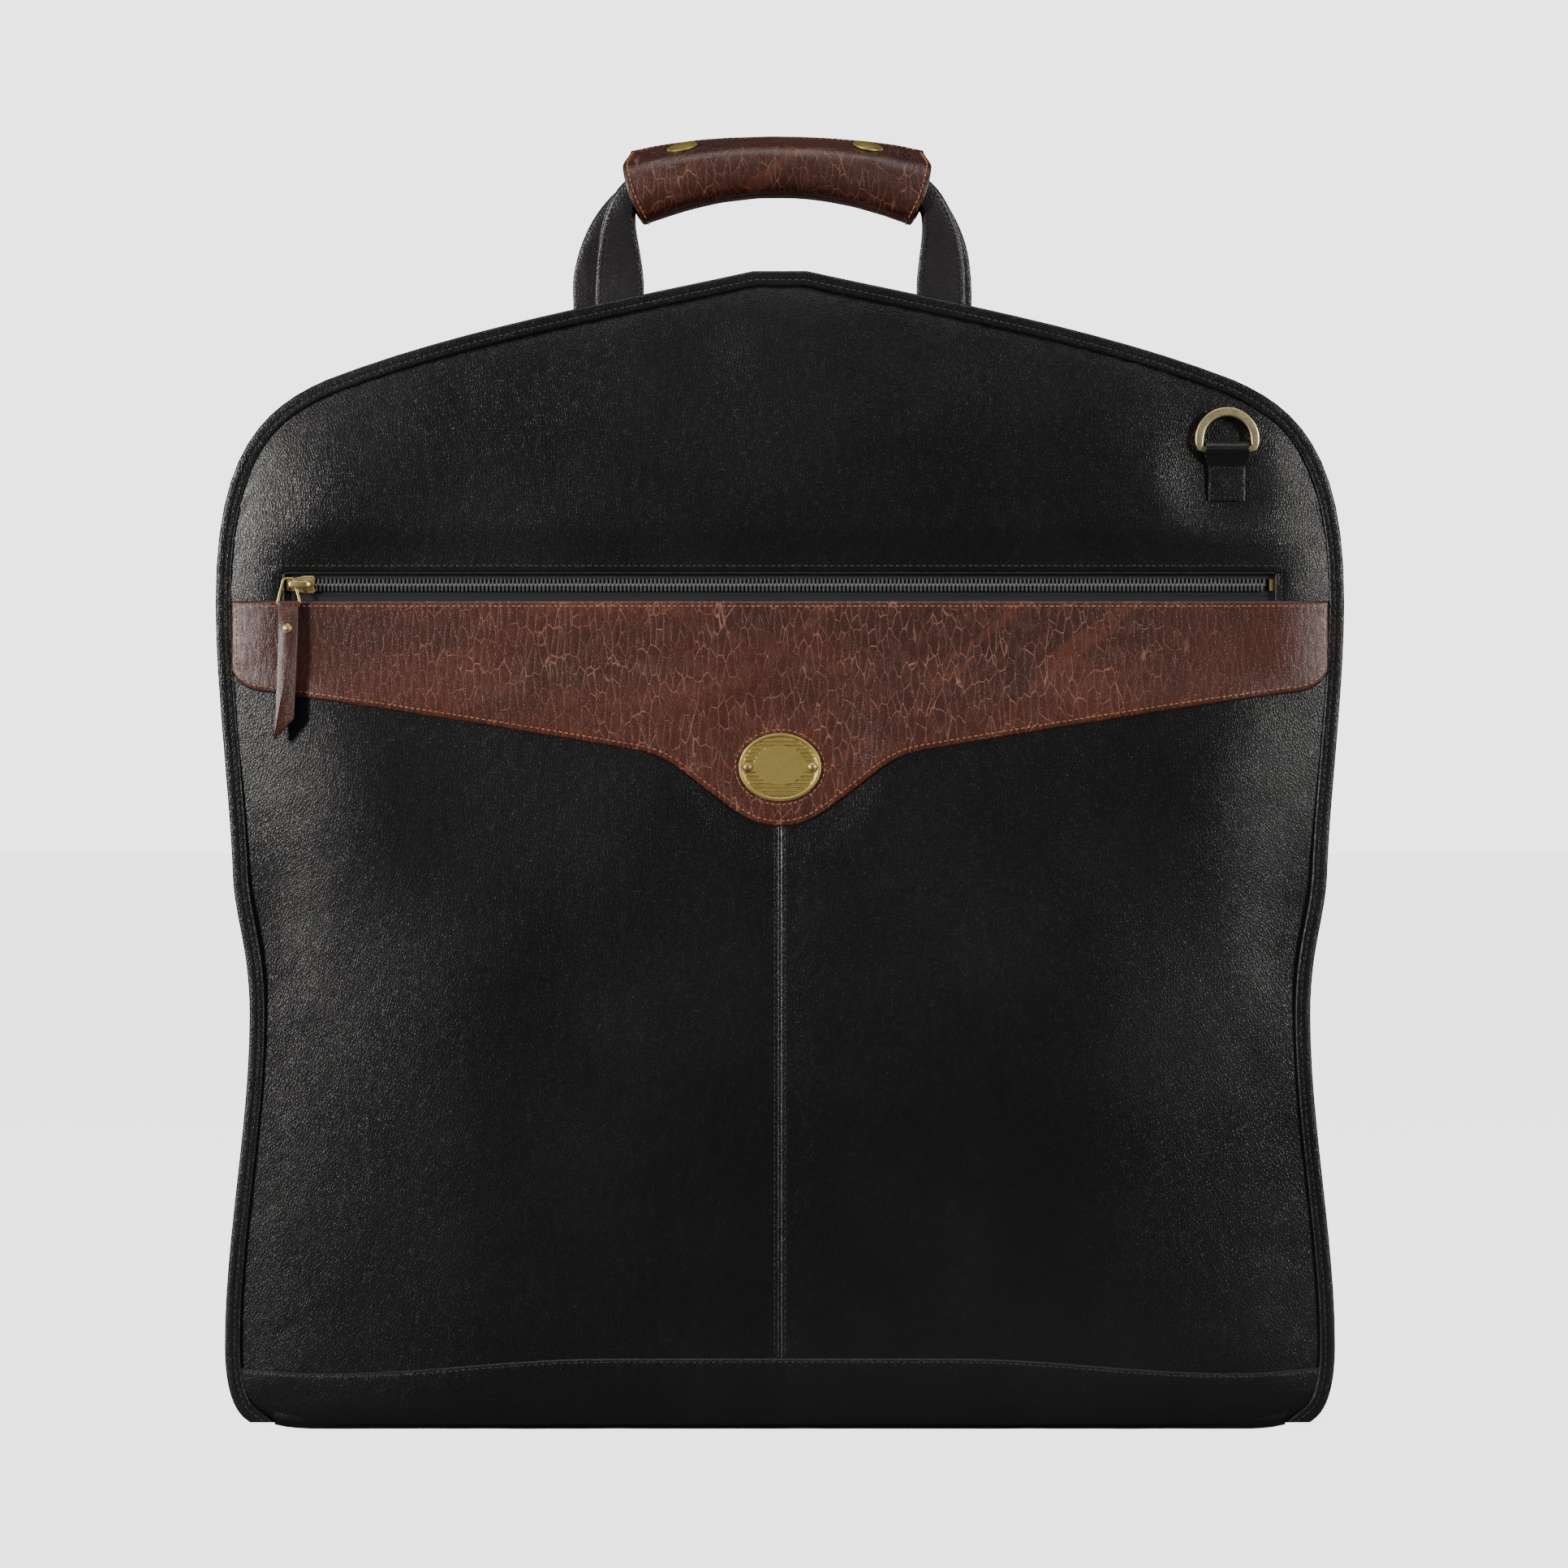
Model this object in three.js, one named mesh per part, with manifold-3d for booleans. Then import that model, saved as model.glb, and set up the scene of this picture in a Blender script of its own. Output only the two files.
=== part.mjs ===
// A bi-fold leather garment bag, folded for carrying. Millimetres, +Z up, the front faces -Y.
// Two shallow cases stand back to back, joined at the bottom by a spine like the covers of a book.
// The origin is the centre of the spine's underside, on which the folded bag stands.
import * as THREE from "three";
import Module from "manifold-3d";
import { mergeVertices } from "three/addons/utils/BufferGeometryUtils.js";

const wasm = await Module();
wasm.setup();

// ---------------------------------------------------------------- driving dimensions
const GAP = 0.3; // what touching pieces keep between them
const BODY_TOP = 601.4; // top of the body at its centre
const BODY_LOW = 5; // lowest edge of each half, above the spine
const OUTER = 45; // outer face of each half, measured from the middle plane
const INNER = 8; // inner face of each half
const LEATHER = 3; // leather on its stiffener
const BINDING = { width: 8, thick: 4, back: 0.5 };
const EDGE = BINDING.width + GAP; // inset of the panels from the outline
const GUSSET_THICK = 2.5;
const SPINE = { halfDepth: 38, halfWidth: 262, thick: 4 };

const PANEL_SPLIT = 423; // seam behind the yoke, between the upper and lower panels
const REAR_SPLIT = 400;
const WINDOW = { halfWidth: 256.6, top: 444.5, welt: 3 }; // the pocket's opening
const ZIP = { z: 438.6, rowWidth: 3.1, halfLength: 253, tapeThick: 1, tapeHalf: 262 };
const YOKE = { top: 430.3, end: 284.2, corner: 396, low: 313.7, thick: 1.5 };
const BADGE = { z: 344.3, rx: 21.2, rz: 17.5, rim: 1.6, thick: 0.8, rimHeight: 0.4 };
const MAIN_ZIP = { half: 4, low: 12, high: 588, thick: 2.5, proud: 1.8 };

const TILT_Z = 600; // height of the axis that the handle tilts about, in the middle plane
const STRAP = { thick: 4, from: 0.3, rocker: 4.3, roll: 6.4, rollY: 7.6 };
const GRIP = { x: -1.5, z: 661.5, radius: 228, halfLength: 76 };
// Each strap leg at its root, from its left edge to its right edge.
const LEGS = {
  front: { left: [-97.2, -71.6], right: [71.9, 97.5] },
  rear: { left: [-109.1, -83.5], right: [75.5, 101.1] },
};
const SIDES = { left: -1, right: 1 };

// ---------------------------------------------------------------- materials
const surface = (color, roughness, metalness = 0) =>
  new THREE.MeshStandardMaterial({ color, roughness, metalness });
const BLACK_LEATHER = surface(0x171617, 0.55);
const BROWN_LEATHER = surface(0x5c2a1c, 0.45);
const BRASS = surface(0x8a7440, 0.35, 1);
const STEEL = surface(0x9a9a9a, 0.3, 1);
const ZIP_TAPE = surface(0x14151b, 0.85);
const COIL_NYLON = surface(0x0e0f10, 0.3);
const LINING = surface(0x2a2622, 0.8);
const BOARD = surface(0x6b5a45, 0.9);

const bag = new THREE.Group();

function add(name, geometry, material) {
  const mesh = new THREE.Mesh(geometry, material);
  mesh.name = name;
  bag.add(mesh);
}

// ---------------------------------------------------------------- shape helpers
const pt = (x, y) => new THREE.Vector2(x, y);
const pts = (...pairs) => pairs.map(([x, y]) => pt(x, y));
const mirrored = (points) => points.map((p) => pt(-p.x, p.y)).reverse();
const ordered = (a, b) => (a < b ? [a, b] : [b, a]);

// The right half of the outline, from the middle of the top down to the bottom corner.
function halfOutline() {
  const shape = new THREE.Shape();
  shape.moveTo(14, BODY_TOP);
  shape.bezierCurveTo(84, 586, 165, 572.1, 235, 545);
  shape.bezierCurveTo(267, 531, 292.6, 509, 292.4, 430);
  shape.bezierCurveTo(292.4, 385, 284.5, 325, 283.5, 288);
  shape.bezierCurveTo(282.3, 265, 274.6, 250, 274.8, 215);
  shape.bezierCurveTo(274.8, 160, 287.6, 100, 287.6, 45);
  shape.bezierCurveTo(287.6, 28, 285, 12, 276, BODY_LOW + 1);
  return shape;
}

// The right half of the outline moved inwards by inset, between two heights.
function outline(inset, low = BODY_LOW, high = BODY_TOP) {
  const moved = [pt(0, BODY_TOP - inset)];
  for (const curve of halfOutline().curves) {
    for (let i = moved.length > 1 ? 1 : 0; i <= 6; i++) {
      const at = curve.getPoint(i / 6);
      const along = curve.getTangent(i / 6);
      moved.push(pt(at.x + inset * along.y, at.y - inset * along.x));
    }
  }
  const [before, last] = moved.slice(-2);
  const slope = (last.x - before.x) / (last.y - before.y);
  moved.push(pt(last.x + slope * (BODY_LOW - last.y), BODY_LOW));
  const kept = [];
  moved.forEach((p, i) => {
    const q = moved[i - 1];
    for (const level of [high, low]) {
      const crosses = q && q.y > level && p.y < level;
      if (crosses) kept.push(pt(q.x + ((p.x - q.x) * (q.y - level)) / (q.y - p.y), level));
    }
    if (p.y <= high && p.y >= low) kept.push(p);
  });
  return kept;
}

// A flat piece drawn in the x-z plane and filling the depths between y0 and y1.
function plate(points, y0, y1, holes = []) {
  const shape = new THREE.Shape(points);
  shape.holes = holes.map((hole) => new THREE.Path(hole));
  const made = new THREE.ExtrudeGeometry(shape, { depth: Math.abs(y1 - y0), bevelEnabled: false });
  return made.rotateX(Math.PI / 2).translate(0, Math.max(y0, y1), 0);
}

// A piece whose section is drawn in the y-z plane, between the widths x0 and x1.
function bar(section, x0, x1, holes = []) {
  const shape = new THREE.Shape(section);
  shape.holes = holes.map((hole) => new THREE.Path(hole));
  const made = new THREE.ExtrudeGeometry(shape, { depth: x1 - x0, bevelEnabled: false });
  return made.applyMatrix4(new THREE.Matrix4().set(0, 0, 1, x0, 1, 0, 0, 0, 0, 1, 0, 0, 0, 0, 0, 1));
}

function box(x0, x1, y0, y1, z0, z1) {
  const made = new THREE.BoxGeometry(Math.abs(x1 - x0), Math.abs(y1 - y0), z1 - z0);
  return made.translate((x0 + x1) / 2, (y0 + y1) / 2, (z0 + z1) / 2);
}

// A domed disc with its back at the origin and its face towards -Y.
function button(radius, edge, dome, segments = 20) {
  const rim = pts([0, 0], [radius, 0], [radius, edge]);
  for (let i = 1; i <= 3; i++) {
    const a = (i / 4) * (Math.PI / 2);
    rim.push(pt(radius * Math.cos(a), edge + dome * Math.sin(a)));
  }
  rim.push(pt(0, edge + dome));
  return new THREE.LatheGeometry(rim, segments).rotateX(Math.PI);
}

function ellipse(x, z, rx, rz, steps = 32) {
  return new THREE.EllipseCurve(x, z, rx, rz, 0, 2 * Math.PI).getPoints(steps).slice(0, steps);
}

// A closed skin over rings of 3-D points. Each ring is drawn the same way round, from a 2-D section.
function loft(sections, rings) {
  const n = sections[0].length;
  const index = [];
  for (let i = 0; i + 1 < rings.length; i++) {
    for (let j = 0; j < n; j++) {
      const [a, b] = [i * n + j, i * n + ((j + 1) % n)];
      index.push(a, b, b + n, a, b + n, a + n);
    }
  }
  const last = (rings.length - 1) * n;
  for (const [a, b, c] of THREE.ShapeUtils.triangulateShape(sections[0], [])) index.push(a, c, b);
  for (const [a, b, c] of THREE.ShapeUtils.triangulateShape(sections.at(-1), [])) {
    index.push(last + a, last + b, last + c);
  }
  const made = new THREE.BufferGeometry();
  const position = rings.flat().flatMap((p) => [p.x, p.y, p.z]);
  made.setAttribute("position", new THREE.Float32BufferAttribute(position, 3));
  made.setIndex(signedVolume(position, index) < 0 ? index.reverse() : index);
  return made;
}

function signedVolume(position, index) {
  const corner = (i) => new THREE.Vector3().fromArray(position, 3 * i);
  let total = 0;
  for (let i = 0; i < index.length; i += 3) {
    const [a, b, c] = index.slice(i, i + 3).map(corner);
    total += a.dot(b.cross(c));
  }
  return total;
}

function solid(geometry) {
  const bare = new THREE.BufferGeometry();
  bare.setAttribute("position", geometry.getAttribute("position"));
  bare.setIndex(geometry.index);
  const merged = mergeVertices(bare, 1e-4);
  const vertProperties = new Float32Array(merged.attributes.position.array);
  const triVerts = new Uint32Array(merged.index.array);
  return new wasm.Manifold(new wasm.Mesh({ numProp: 3, vertProperties, triVerts }));
}

function geometryOf(manifold) {
  const mesh = manifold.getMesh();
  const made = new THREE.BufferGeometry();
  made.setAttribute("position", new THREE.Float32BufferAttribute(mesh.vertProperties, 3));
  made.setIndex([...mesh.triVerts]);
  return made;
}

const joined = (...pieces) => geometryOf(pieces.map(solid).reduce((a, b) => a.add(b)));
const cut = (piece, ...tools) =>
  geometryOf(tools.map(solid).reduce((a, b) => a.subtract(b), solid(piece)));

// ---------------------------------------------------------------- each half's shell
// The top of the bottom band, from the centre to the side.
const BAND = { middle: 39, side: 33.4 };

function bandSeam() {
  const shape = new THREE.Shape();
  shape.moveTo(0, BAND.middle);
  shape.bezierCurveTo(120, 38.6, 190, 33, 233, 31);
  shape.quadraticCurveTo(255, 30.2, 279, BAND.side);
  return shape.getPoints(6);
}

function edgeBinding(name, y0, y1) {
  const rim = outline(0);
  const inner = outline(BINDING.width);
  const ring = [...mirrored(rim), ...rim.slice(1), ...inner.slice(1).reverse()];
  const whole = [...ring, pt(0, inner[0].y), ...mirrored(inner.slice(1)).reverse()];
  add(name, plate(whole, y0, y1), BLACK_LEATHER);
}

function gusset(name, turn, y0, y1) {
  const away = outline(EDGE).slice(1);
  const near = outline(EDGE + GUSSET_THICK).slice(1);
  const strip = [...away, ...near.reverse()];
  add(name, plate(turn > 0 ? strip : mirrored(strip), y0, y1), BLACK_LEATHER);
}

function innerPanel(name, turn, y0, y1) {
  const edge = MAIN_ZIP.half + GAP;
  const side = outline(EDGE, BODY_LOW).slice(1);
  const panel = [pt(edge, side[0].y), ...side, pt(edge, BODY_LOW)];
  add(name, plate(turn > 0 ? panel : mirrored(panel), y0, y1), LINING);
}

// A block that holds a strap leg's end, hollowed on top round the axis that the leg tilts about.
function handleRoot(name, [x0, x1], side) {
  const reach = STRAP.rocker + GAP;
  const hollow = (y) => TILT_Z - Math.sqrt(reach ** 2 - y ** 2);
  const depths = [STRAP.from, 1.3, 2.3, 3.2];
  const top = depths.map((y) => pt(side * y, hollow(y)));
  const low = TILT_Z - 48;
  const section = [pt(side * STRAP.from, low), ...top, pt(side * (INNER - GAP), TILT_Z - 18)];
  add(name, bar([...section, pt(side * (INNER - GAP), low)], x0, x1), BLACK_LEATHER);
}

// side is -1 for the front half and 1 for the rear half.
function shell(half, side) {
  const bound = OUTER - BINDING.back;
  edgeBinding(`${half}_outer_binding`, side * bound, side * (bound - BINDING.thick));
  edgeBinding(`${half}_inner_binding`, side * (INNER + BINDING.thick), side * INNER);
  const band = outline(EDGE, BODY_LOW, BAND.side - 0.2);
  const seam = bandSeam();
  const bandHalf = [...seam.filter((p) => p.x < band[0].x - 1), ...band];
  const wholeBand = [...bandHalf, ...mirrored(bandHalf.slice(1))];
  add(`${half}_bottom_band`, plate(wholeBand, side * OUTER, side * (OUTER - LEATHER)), BLACK_LEATHER);
  for (const [name, turn] of Object.entries(SIDES)) {
    const behind = side * (OUTER - LEATHER - GAP);
    gusset(`${half}_gusset_${name}`, turn, behind, side * (INNER + BINDING.thick + GAP));
    innerPanel(`${half}_inner_panel_${name}`, turn, side * (INNER + LEATHER), side * INNER);
    handleRoot(`${half}_handle_root_${name}`, LEGS[half][name], side);
  }
  const chainFront = side * (INNER - MAIN_ZIP.proud);
  const chainBack = chainFront + side * MAIN_ZIP.thick;
  const chain = box(-MAIN_ZIP.half, MAIN_ZIP.half, chainFront, chainBack, MAIN_ZIP.low, MAIN_ZIP.high);
  add(`${half}_main_zip_chain`, chain, COIL_NYLON);
}

// A panel's sides from its top down to just above the bottom band.
function abovePanel(high) {
  const seam = bandSeam().map((p) => pt(p.x, p.y + GAP));
  const side = outline(EDGE, BAND.side + 0.1 + GAP, high);
  return { side, seam: seam.filter((p) => p.x < side.at(-1).x - 1).reverse() };
}

shell("front", -1);
shell("rear", 1);

// ---------------------------------------------------------------- front panels
const FRONT = -OUTER;
const SKIN_BACK = FRONT + LEATHER;

function frontUpperPanel() {
  const low = WINDOW.top + WINDOW.welt + GAP;
  const inner = WINDOW.halfWidth + WINDOW.welt + GAP;
  const right = [...outline(EDGE, PANEL_SPLIT), pt(inner, PANEL_SPLIT), pt(inner, low)];
  add("front_upper_panel", plate([...right, ...mirrored(right.slice(1))], FRONT, SKIN_BACK), BLACK_LEATHER);
}

function frontLowerPanels() {
  const { side, seam } = abovePanel(PANEL_SPLIT - GAP);
  const middle = GAP / 2;
  const edge = [pt(middle, PANEL_SPLIT - GAP), ...side, ...seam.slice(0, -1), pt(middle, seam.at(-1).y)];
  add("front_lower_panel_right", plate(edge, FRONT, SKIN_BACK), BLACK_LEATHER);
  add("front_lower_panel_left", plate(mirrored(edge), FRONT, SKIN_BACK), BLACK_LEATHER);
}

function rearPanels() {
  const upper = outline(EDGE, REAR_SPLIT);
  const upperWhole = [...upper, ...mirrored(upper.slice(1))];
  add("rear_upper_panel", plate(upperWhole, OUTER, OUTER - LEATHER), BLACK_LEATHER);
  const { side, seam } = abovePanel(REAR_SPLIT - GAP);
  const lower = [...side, ...seam];
  const lowerWhole = [...lower, ...mirrored(lower.slice(0, -1))];
  add("rear_lower_panel", plate(lowerWhole, OUTER, OUTER - LEATHER), BLACK_LEATHER);
}

frontUpperPanel();
frontLowerPanels();
rearPanels();
const { halfDepth, halfWidth, thick: spineThick } = SPINE;
add("fold_spine", box(-halfWidth, halfWidth, -halfDepth, halfDepth, 0, spineThick), BLACK_LEATHER);

// ---------------------------------------------------------------- front pocket: welt, zip and lining
function pocketWelt() {
  const { halfWidth: x, top, welt } = WINDOW;
  const right = pts([x + welt, top + welt], [x + welt, PANEL_SPLIT], [x, PANEL_SPLIT], [x, top]);
  add("pocket_zip_welt", plate([...right, ...mirrored(right)], FRONT + 0.2, SKIN_BACK), BLACK_LEATHER);
}

const TAPE_FRONT = SKIN_BACK + GAP;
const COIL_FRONT = FRONT + 0.8;
const COIL_BACK = TAPE_FRONT - GAP;

function pocketZip() {
  const reach = { upper: 18, lower: -24 };
  for (const [name, far] of Object.entries(reach)) {
    const turn = Math.sign(far);
    const tape = ordered(ZIP.z + turn * 0.4, ZIP.z + far);
    const x = ZIP.tapeHalf;
    add(`pocket_zip_tape_${name}`, box(-x, x, TAPE_FRONT, TAPE_FRONT + ZIP.tapeThick, ...tape), ZIP_TAPE);
    const row = ordered(ZIP.z + turn * GAP, ZIP.z + turn * (GAP + ZIP.rowWidth));
    const coil = box(-ZIP.halfLength, ZIP.halfLength, COIL_FRONT, COIL_BACK, ...row);
    add(`pocket_zip_coil_${name}`, coil, COIL_NYLON);
  }
  for (const [name, turn] of Object.entries(SIDES)) {
    const x = ordered(turn * (ZIP.halfLength + GAP), turn * (ZIP.halfLength + 2.4));
    add(`pocket_zip_stop_${name}`, box(...x, COIL_FRONT, COIL_BACK, ZIP.z - 3, ZIP.z + 3), BRASS);
  }
}

pocketWelt();
pocketZip();
const POCKET = { depth: 34, thick: 1, low: 60, high: 460 };

function pocketLining() {
  const x = ZIP.tapeHalf;
  const { depth, thick, low, high } = POCKET;
  add("pocket_lining", box(-x, x, -depth, thick - depth, low, high), LINING);
}

pocketLining();

// ---------------------------------------------------------------- yoke and badge
const YOKE_BACK = FRONT - GAP;
const YOKE_FRONT = YOKE_BACK - YOKE.thick;

// Straight on top, rounded at its lower corners, and sweeping down to a tongue at the centre.
function yoke() {
  const shape = new THREE.Shape();
  shape.moveTo(0, YOKE.top);
  shape.lineTo(YOKE.end, YOKE.top);
  shape.lineTo(YOKE.end, YOKE.corner);
  shape.quadraticCurveTo(282, 385, 268, 383.2);
  shape.quadraticCurveTo(200, 374.5, 73, 352.8);
  shape.bezierCurveTo(56, 349.6, 50, 341, 33, 329);
  shape.bezierCurveTo(22, 320.5, 14, YOKE.low, 0, YOKE.low);
  const right = shape.getPoints(8);
  const whole = [...right.slice(0, -1), ...mirrored(right.slice(1))];
  add("yoke_trim", plate(whole, YOKE_FRONT, YOKE_BACK), BROWN_LEATHER);
}

// An oval plate with a raised rim, held by a rivet at each end.
function badge() {
  const { z, rx, rz, rim, thick, rimHeight } = BADGE;
  const back = YOKE_FRONT - GAP;
  const face = back - thick;
  const inside = ellipse(0, z, rx - rim, rz - rim);
  const rimRing = plate(ellipse(0, z, rx, rz), face - rimHeight, face + thick / 2, [inside]);
  add("badge_plate", joined(plate(ellipse(0, z, rx, rz), face, back), rimRing), BRASS);
  for (const [name, turn] of Object.entries(SIDES)) {
    const head = button(2, 0.3, 0.7, 12).translate(turn * (rx - rim - 2.8), face - GAP, z);
    add(`badge_rivet_${name}`, head, BRASS);
  }
}

yoke();
badge();

// ---------------------------------------------------------------- D-rings on stitched tabs
const RING = {
  x: 231, bar: 508.5, depth: 48.6, outer: 16.75, inner: 12.1, rise: 5, thick: 3.4, barHalf: 1.5,
};
const TAB = { half: 11.3, low: 482, slot: 2.5, wall: 1.5 };

function ringGeometry(x, y) {
  const { outer, inner, bar: z, rise, thick, barHalf } = RING;
  const shape = new THREE.Shape();
  shape.moveTo(-outer, z + rise);
  shape.lineTo(2 - outer, z - barHalf);
  shape.lineTo(outer - 2, z - barHalf);
  shape.absarc(0, z + rise, outer, 0, Math.PI);
  const hole = new THREE.Shape();
  hole.moveTo(-inner, z + barHalf);
  hole.lineTo(inner, z + barHalf);
  hole.absarc(0, z + rise, inner, 0, Math.PI);
  const bow = shape.getPoints(10).slice(0, -1);
  const ring = plate(bow, y - thick / 2, y + thick / 2, [hole.getPoints(10).slice(0, -1)]);
  ring.translate(x, 0, 0);
  // The bar is thinner than the bow, so that it turns inside the tab's loop.
  const trim = TAB.half + 0.7;
  const flats = ordered(barHalf, thick).concat(ordered(-thick, -barHalf));
  const tool = (a, b) => box(x - trim, x + trim, y + a, y + b, z - 3, z + 2.2);
  return cut(ring, tool(flats[0], flats[1]), tool(flats[2], flats[3]));
}

// The rear ring is at the other side of the bag, so that a shoulder strap crosses it.
function dRing(half, side) {
  const x = -side * RING.x;
  const y = side * RING.depth;
  add(`${half}_d_ring`, ringGeometry(x, y), BRASS);
  const { slot, wall, half: halfWidth, low } = TAB;
  const z = RING.bar;
  const back = OUTER + GAP;
  const front = RING.depth + slot + wall;
  const flat = back + 3.6;
  const section = pts(
    [back, low], [back, z + 3.2], [back + 1, z + slot + wall], [front - 1.3, z + slot + wall],
    [front, z + slot], [front, z - 5], [flat, z - 9], [flat, low],
  );
  const hole = pts(
    [RING.depth - slot, z - slot], [RING.depth + slot, z - slot],
    [RING.depth + slot, z + slot], [RING.depth - slot, z + slot],
  );
  const [outer, inner] = [section, hole].map((list) => list.map((p) => pt(side * p.x, p.y)));
  add(`${half}_d_ring_tab`, bar(outer, x - halfWidth, x + halfWidth, [inner]), BLACK_LEATHER);
}

dRing("front", -1);
dRing("rear", 1);

// ---------------------------------------------------------------- pocket slider and its pull
const SLIDER = { x: -247.4, length: 14.5, height: 9.2, back: FRONT + 0.4, front: FRONT - 1.6 };
const ARCH = { left: -254.4, right: -241, foot: 1.8, half: 1, top: FRONT - 8.6, thick: 1.6 };
// The pull hangs from the arch's left foot, which passes through the narrow end of its frame.
const PULL = { x: ARCH.left + ARCH.foot / 2, y: FRONT - 5.5, thick: 1.2 };

function pocketSlider() {
  const { x, length, height, back, front } = SLIDER;
  const { left, right, foot, half, top, thick } = ARCH;
  const body = box(x - length / 2, x + length / 2, front, back, ZIP.z - height / 2, ZIP.z + height / 2);
  const low = front + 0.5;
  const pieces = [
    box(left, left + foot, top, low, ZIP.z - half, ZIP.z + half),
    box(right - foot, right, top, low, ZIP.z - half, ZIP.z + half),
    box(left, right, top, top + thick, ZIP.z - half, ZIP.z + half),
  ];
  add("pocket_zip_slider", joined(body, ...pieces), BRASS);
}

function pocketPull() {
  const { x, y, thick } = PULL;
  const [top, low] = [ZIP.z + 3.8, 427.6];
  const frame = pts([x - 3.3, top], [x - 6.7, low], [x + 6.7, low], [x + 3.3, top]);
  const hole = pts([x - 1.9, top - 1.5], [x + 1.9, top - 1.5], [x + 5.4, low + 1.6], [x - 5.4, low + 1.6]);
  add("pocket_pull_frame", plate(frame, y - thick / 2, y + thick / 2, [hole]), BRASS);

  // The leather tab is doubled round the frame's lower bar and cut slanting at its tip.
  const [front, back] = [y - thick / 2 - 1.6, y + thick / 2 + 1.3];
  const [wide, tip, lean] = [4.55, 356, 2.2];
  const leather = pts(
    [x - wide - lean, tip], [x + wide - lean, tip + 11.8], [x + wide, low + 3.1], [x - wide, low + 3.1],
  );
  const slot = box(x - 7, x + 7, y - thick / 2 - GAP, y + thick / 2 + GAP, low - GAP, low + 1.9);
  add("pocket_pull_tab", cut(plate(leather, front, back), slot), BROWN_LEATHER);
  const head = button(2.5, 0.3, 0.8, 14).translate(x - 0.4, front - GAP, 415.8);
  add("pocket_pull_rivet", head, BRASS);
}

pocketSlider();
pocketPull();

// ---------------------------------------------------------------- main zip slider and its pull
function mainSlider() {
  const front = -(INNER - MAIN_ZIP.proud - GAP);
  const z = MAIN_ZIP.high - 20;
  add("main_zip_slider", box(-5.2, 5.2, front, front + 1.7, z - 8, z + 8), BRASS);
  add("main_zip_pull", box(-3.5, 3.5, front + 2, front + 3.4, z - 36, z + 2), BRASS);
}

mainSlider();

// ---------------------------------------------------------------- what carries the clothes and the bag
// A board shaped like the shoulders stiffens the rear half's top, and a bracket on it holds hangers.
function hangingGear() {
  const top = outline(EDGE + GUSSET_THICK + 1).filter((p) => p.x < 150);
  const board = [...top, pt(top.at(-1).x, top.at(-1).y - 14), pt(0, BODY_TOP - 60)];
  const boardBack = 39.5;
  const boardFace = 37.5;
  add("top_stiffener", plate([...board, ...mirrored(board.slice(1, -1))], boardFace, boardBack), BOARD);
  const wall = boardFace - GAP;
  const [high, low, lip, thick] = [583, 528, 16, 1.6];
  const hookSection = pts(
    [wall, low], [wall, high], [wall - thick, high], [wall - thick, low + thick],
    [lip + thick, low + thick], [lip + thick, low + 17], [lip, low + 17], [lip, low],
  );
  const rivets = [-12, 12].map((x) => button(3.5, 1, 1, 14).translate(x, wall - thick + 0.5, high - 14));
  add("hanger_bracket", joined(bar(hookSection, -20, 20), ...rivets), STEEL);
}

// The bag's own hook: its strap slides in a sleeve on the rear half's inner face, and pulls up to hang it.
const HOOK = {
  y: 1.6, wire: 2, bend: 17.5, crown: 587, strapTop: 531, strapLow: 436, sleeve: [488, 518],
};

function hangingHook() {
  const { y, wire, bend, crown, strapTop, strapLow, sleeve } = HOOK;
  const centre = crown - wire - bend;
  const neckLow = strapTop - 6;
  const stations = [new THREE.Vector3(0, y, neckLow), new THREE.Vector3(0, y, strapTop + 6)];
  const [from, to] = [-0.9, Math.PI + 0.5];
  for (let i = 0; i <= 6; i++) {
    const a = THREE.MathUtils.lerp(from, to, i / 6);
    stations.push(new THREE.Vector3(bend * Math.cos(a), y, centre + bend * Math.sin(a)));
  }
  const path = new THREE.CatmullRomCurve3(stations);
  const round = new THREE.Shape(ellipse(0, 0, wire, wire, 8));
  const hook = new THREE.ExtrudeGeometry(round, { steps: 36, bevelEnabled: false, extrudePath: path });
  add("hanging_hook", hook, STEEL);
  const [front, back] = [y - 1.4, y + 1.4];
  const strap = box(-9, 9, front, back, strapLow, strapTop);
  const stop = box(-11.5, 11.5, front, back, strapLow, strapLow + 8);
  const seat = box(-wire - 1, wire + 1, front - 2, back + 2, neckLow - 2, strapTop + 1);
  add("hook_strap", cut(joined(strap, stop), seat), BLACK_LEATHER);
  const reach = { inner: 9.6, outer: 11, wing: 20 };
  const far = INNER - GAP;
  const ring = [
    [-reach.wing, far], [-reach.wing, far - 1.4], [-reach.outer, far - 1.4], [-reach.outer, front - 1.6],
    [reach.outer, front - 1.6], [reach.outer, far - 1.4], [reach.wing, far - 1.4], [reach.wing, far],
    [reach.inner, far], [reach.inner, front - 0.4], [-reach.inner, front - 0.4], [-reach.inner, far],
  ];
  const sleeveShape = new THREE.Shape(pts(...ring));
  const tube = new THREE.ExtrudeGeometry(sleeveShape, { depth: sleeve[1] - sleeve[0], bevelEnabled: false });
  add("hook_sleeve", tube.translate(0, 0, sleeve[0]), BLACK_LEATHER);
}

hangingGear();
hangingHook();

// ---------------------------------------------------------------- handle straps
// A point on the arched grip's centre line, at a distance along it from the middle.
function gripAt(along) {
  const a = along / GRIP.radius;
  return { x: GRIP.x + GRIP.radius * Math.sin(a), z: GRIP.z - GRIP.radius * (1 - Math.cos(a)), a };
}

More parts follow.
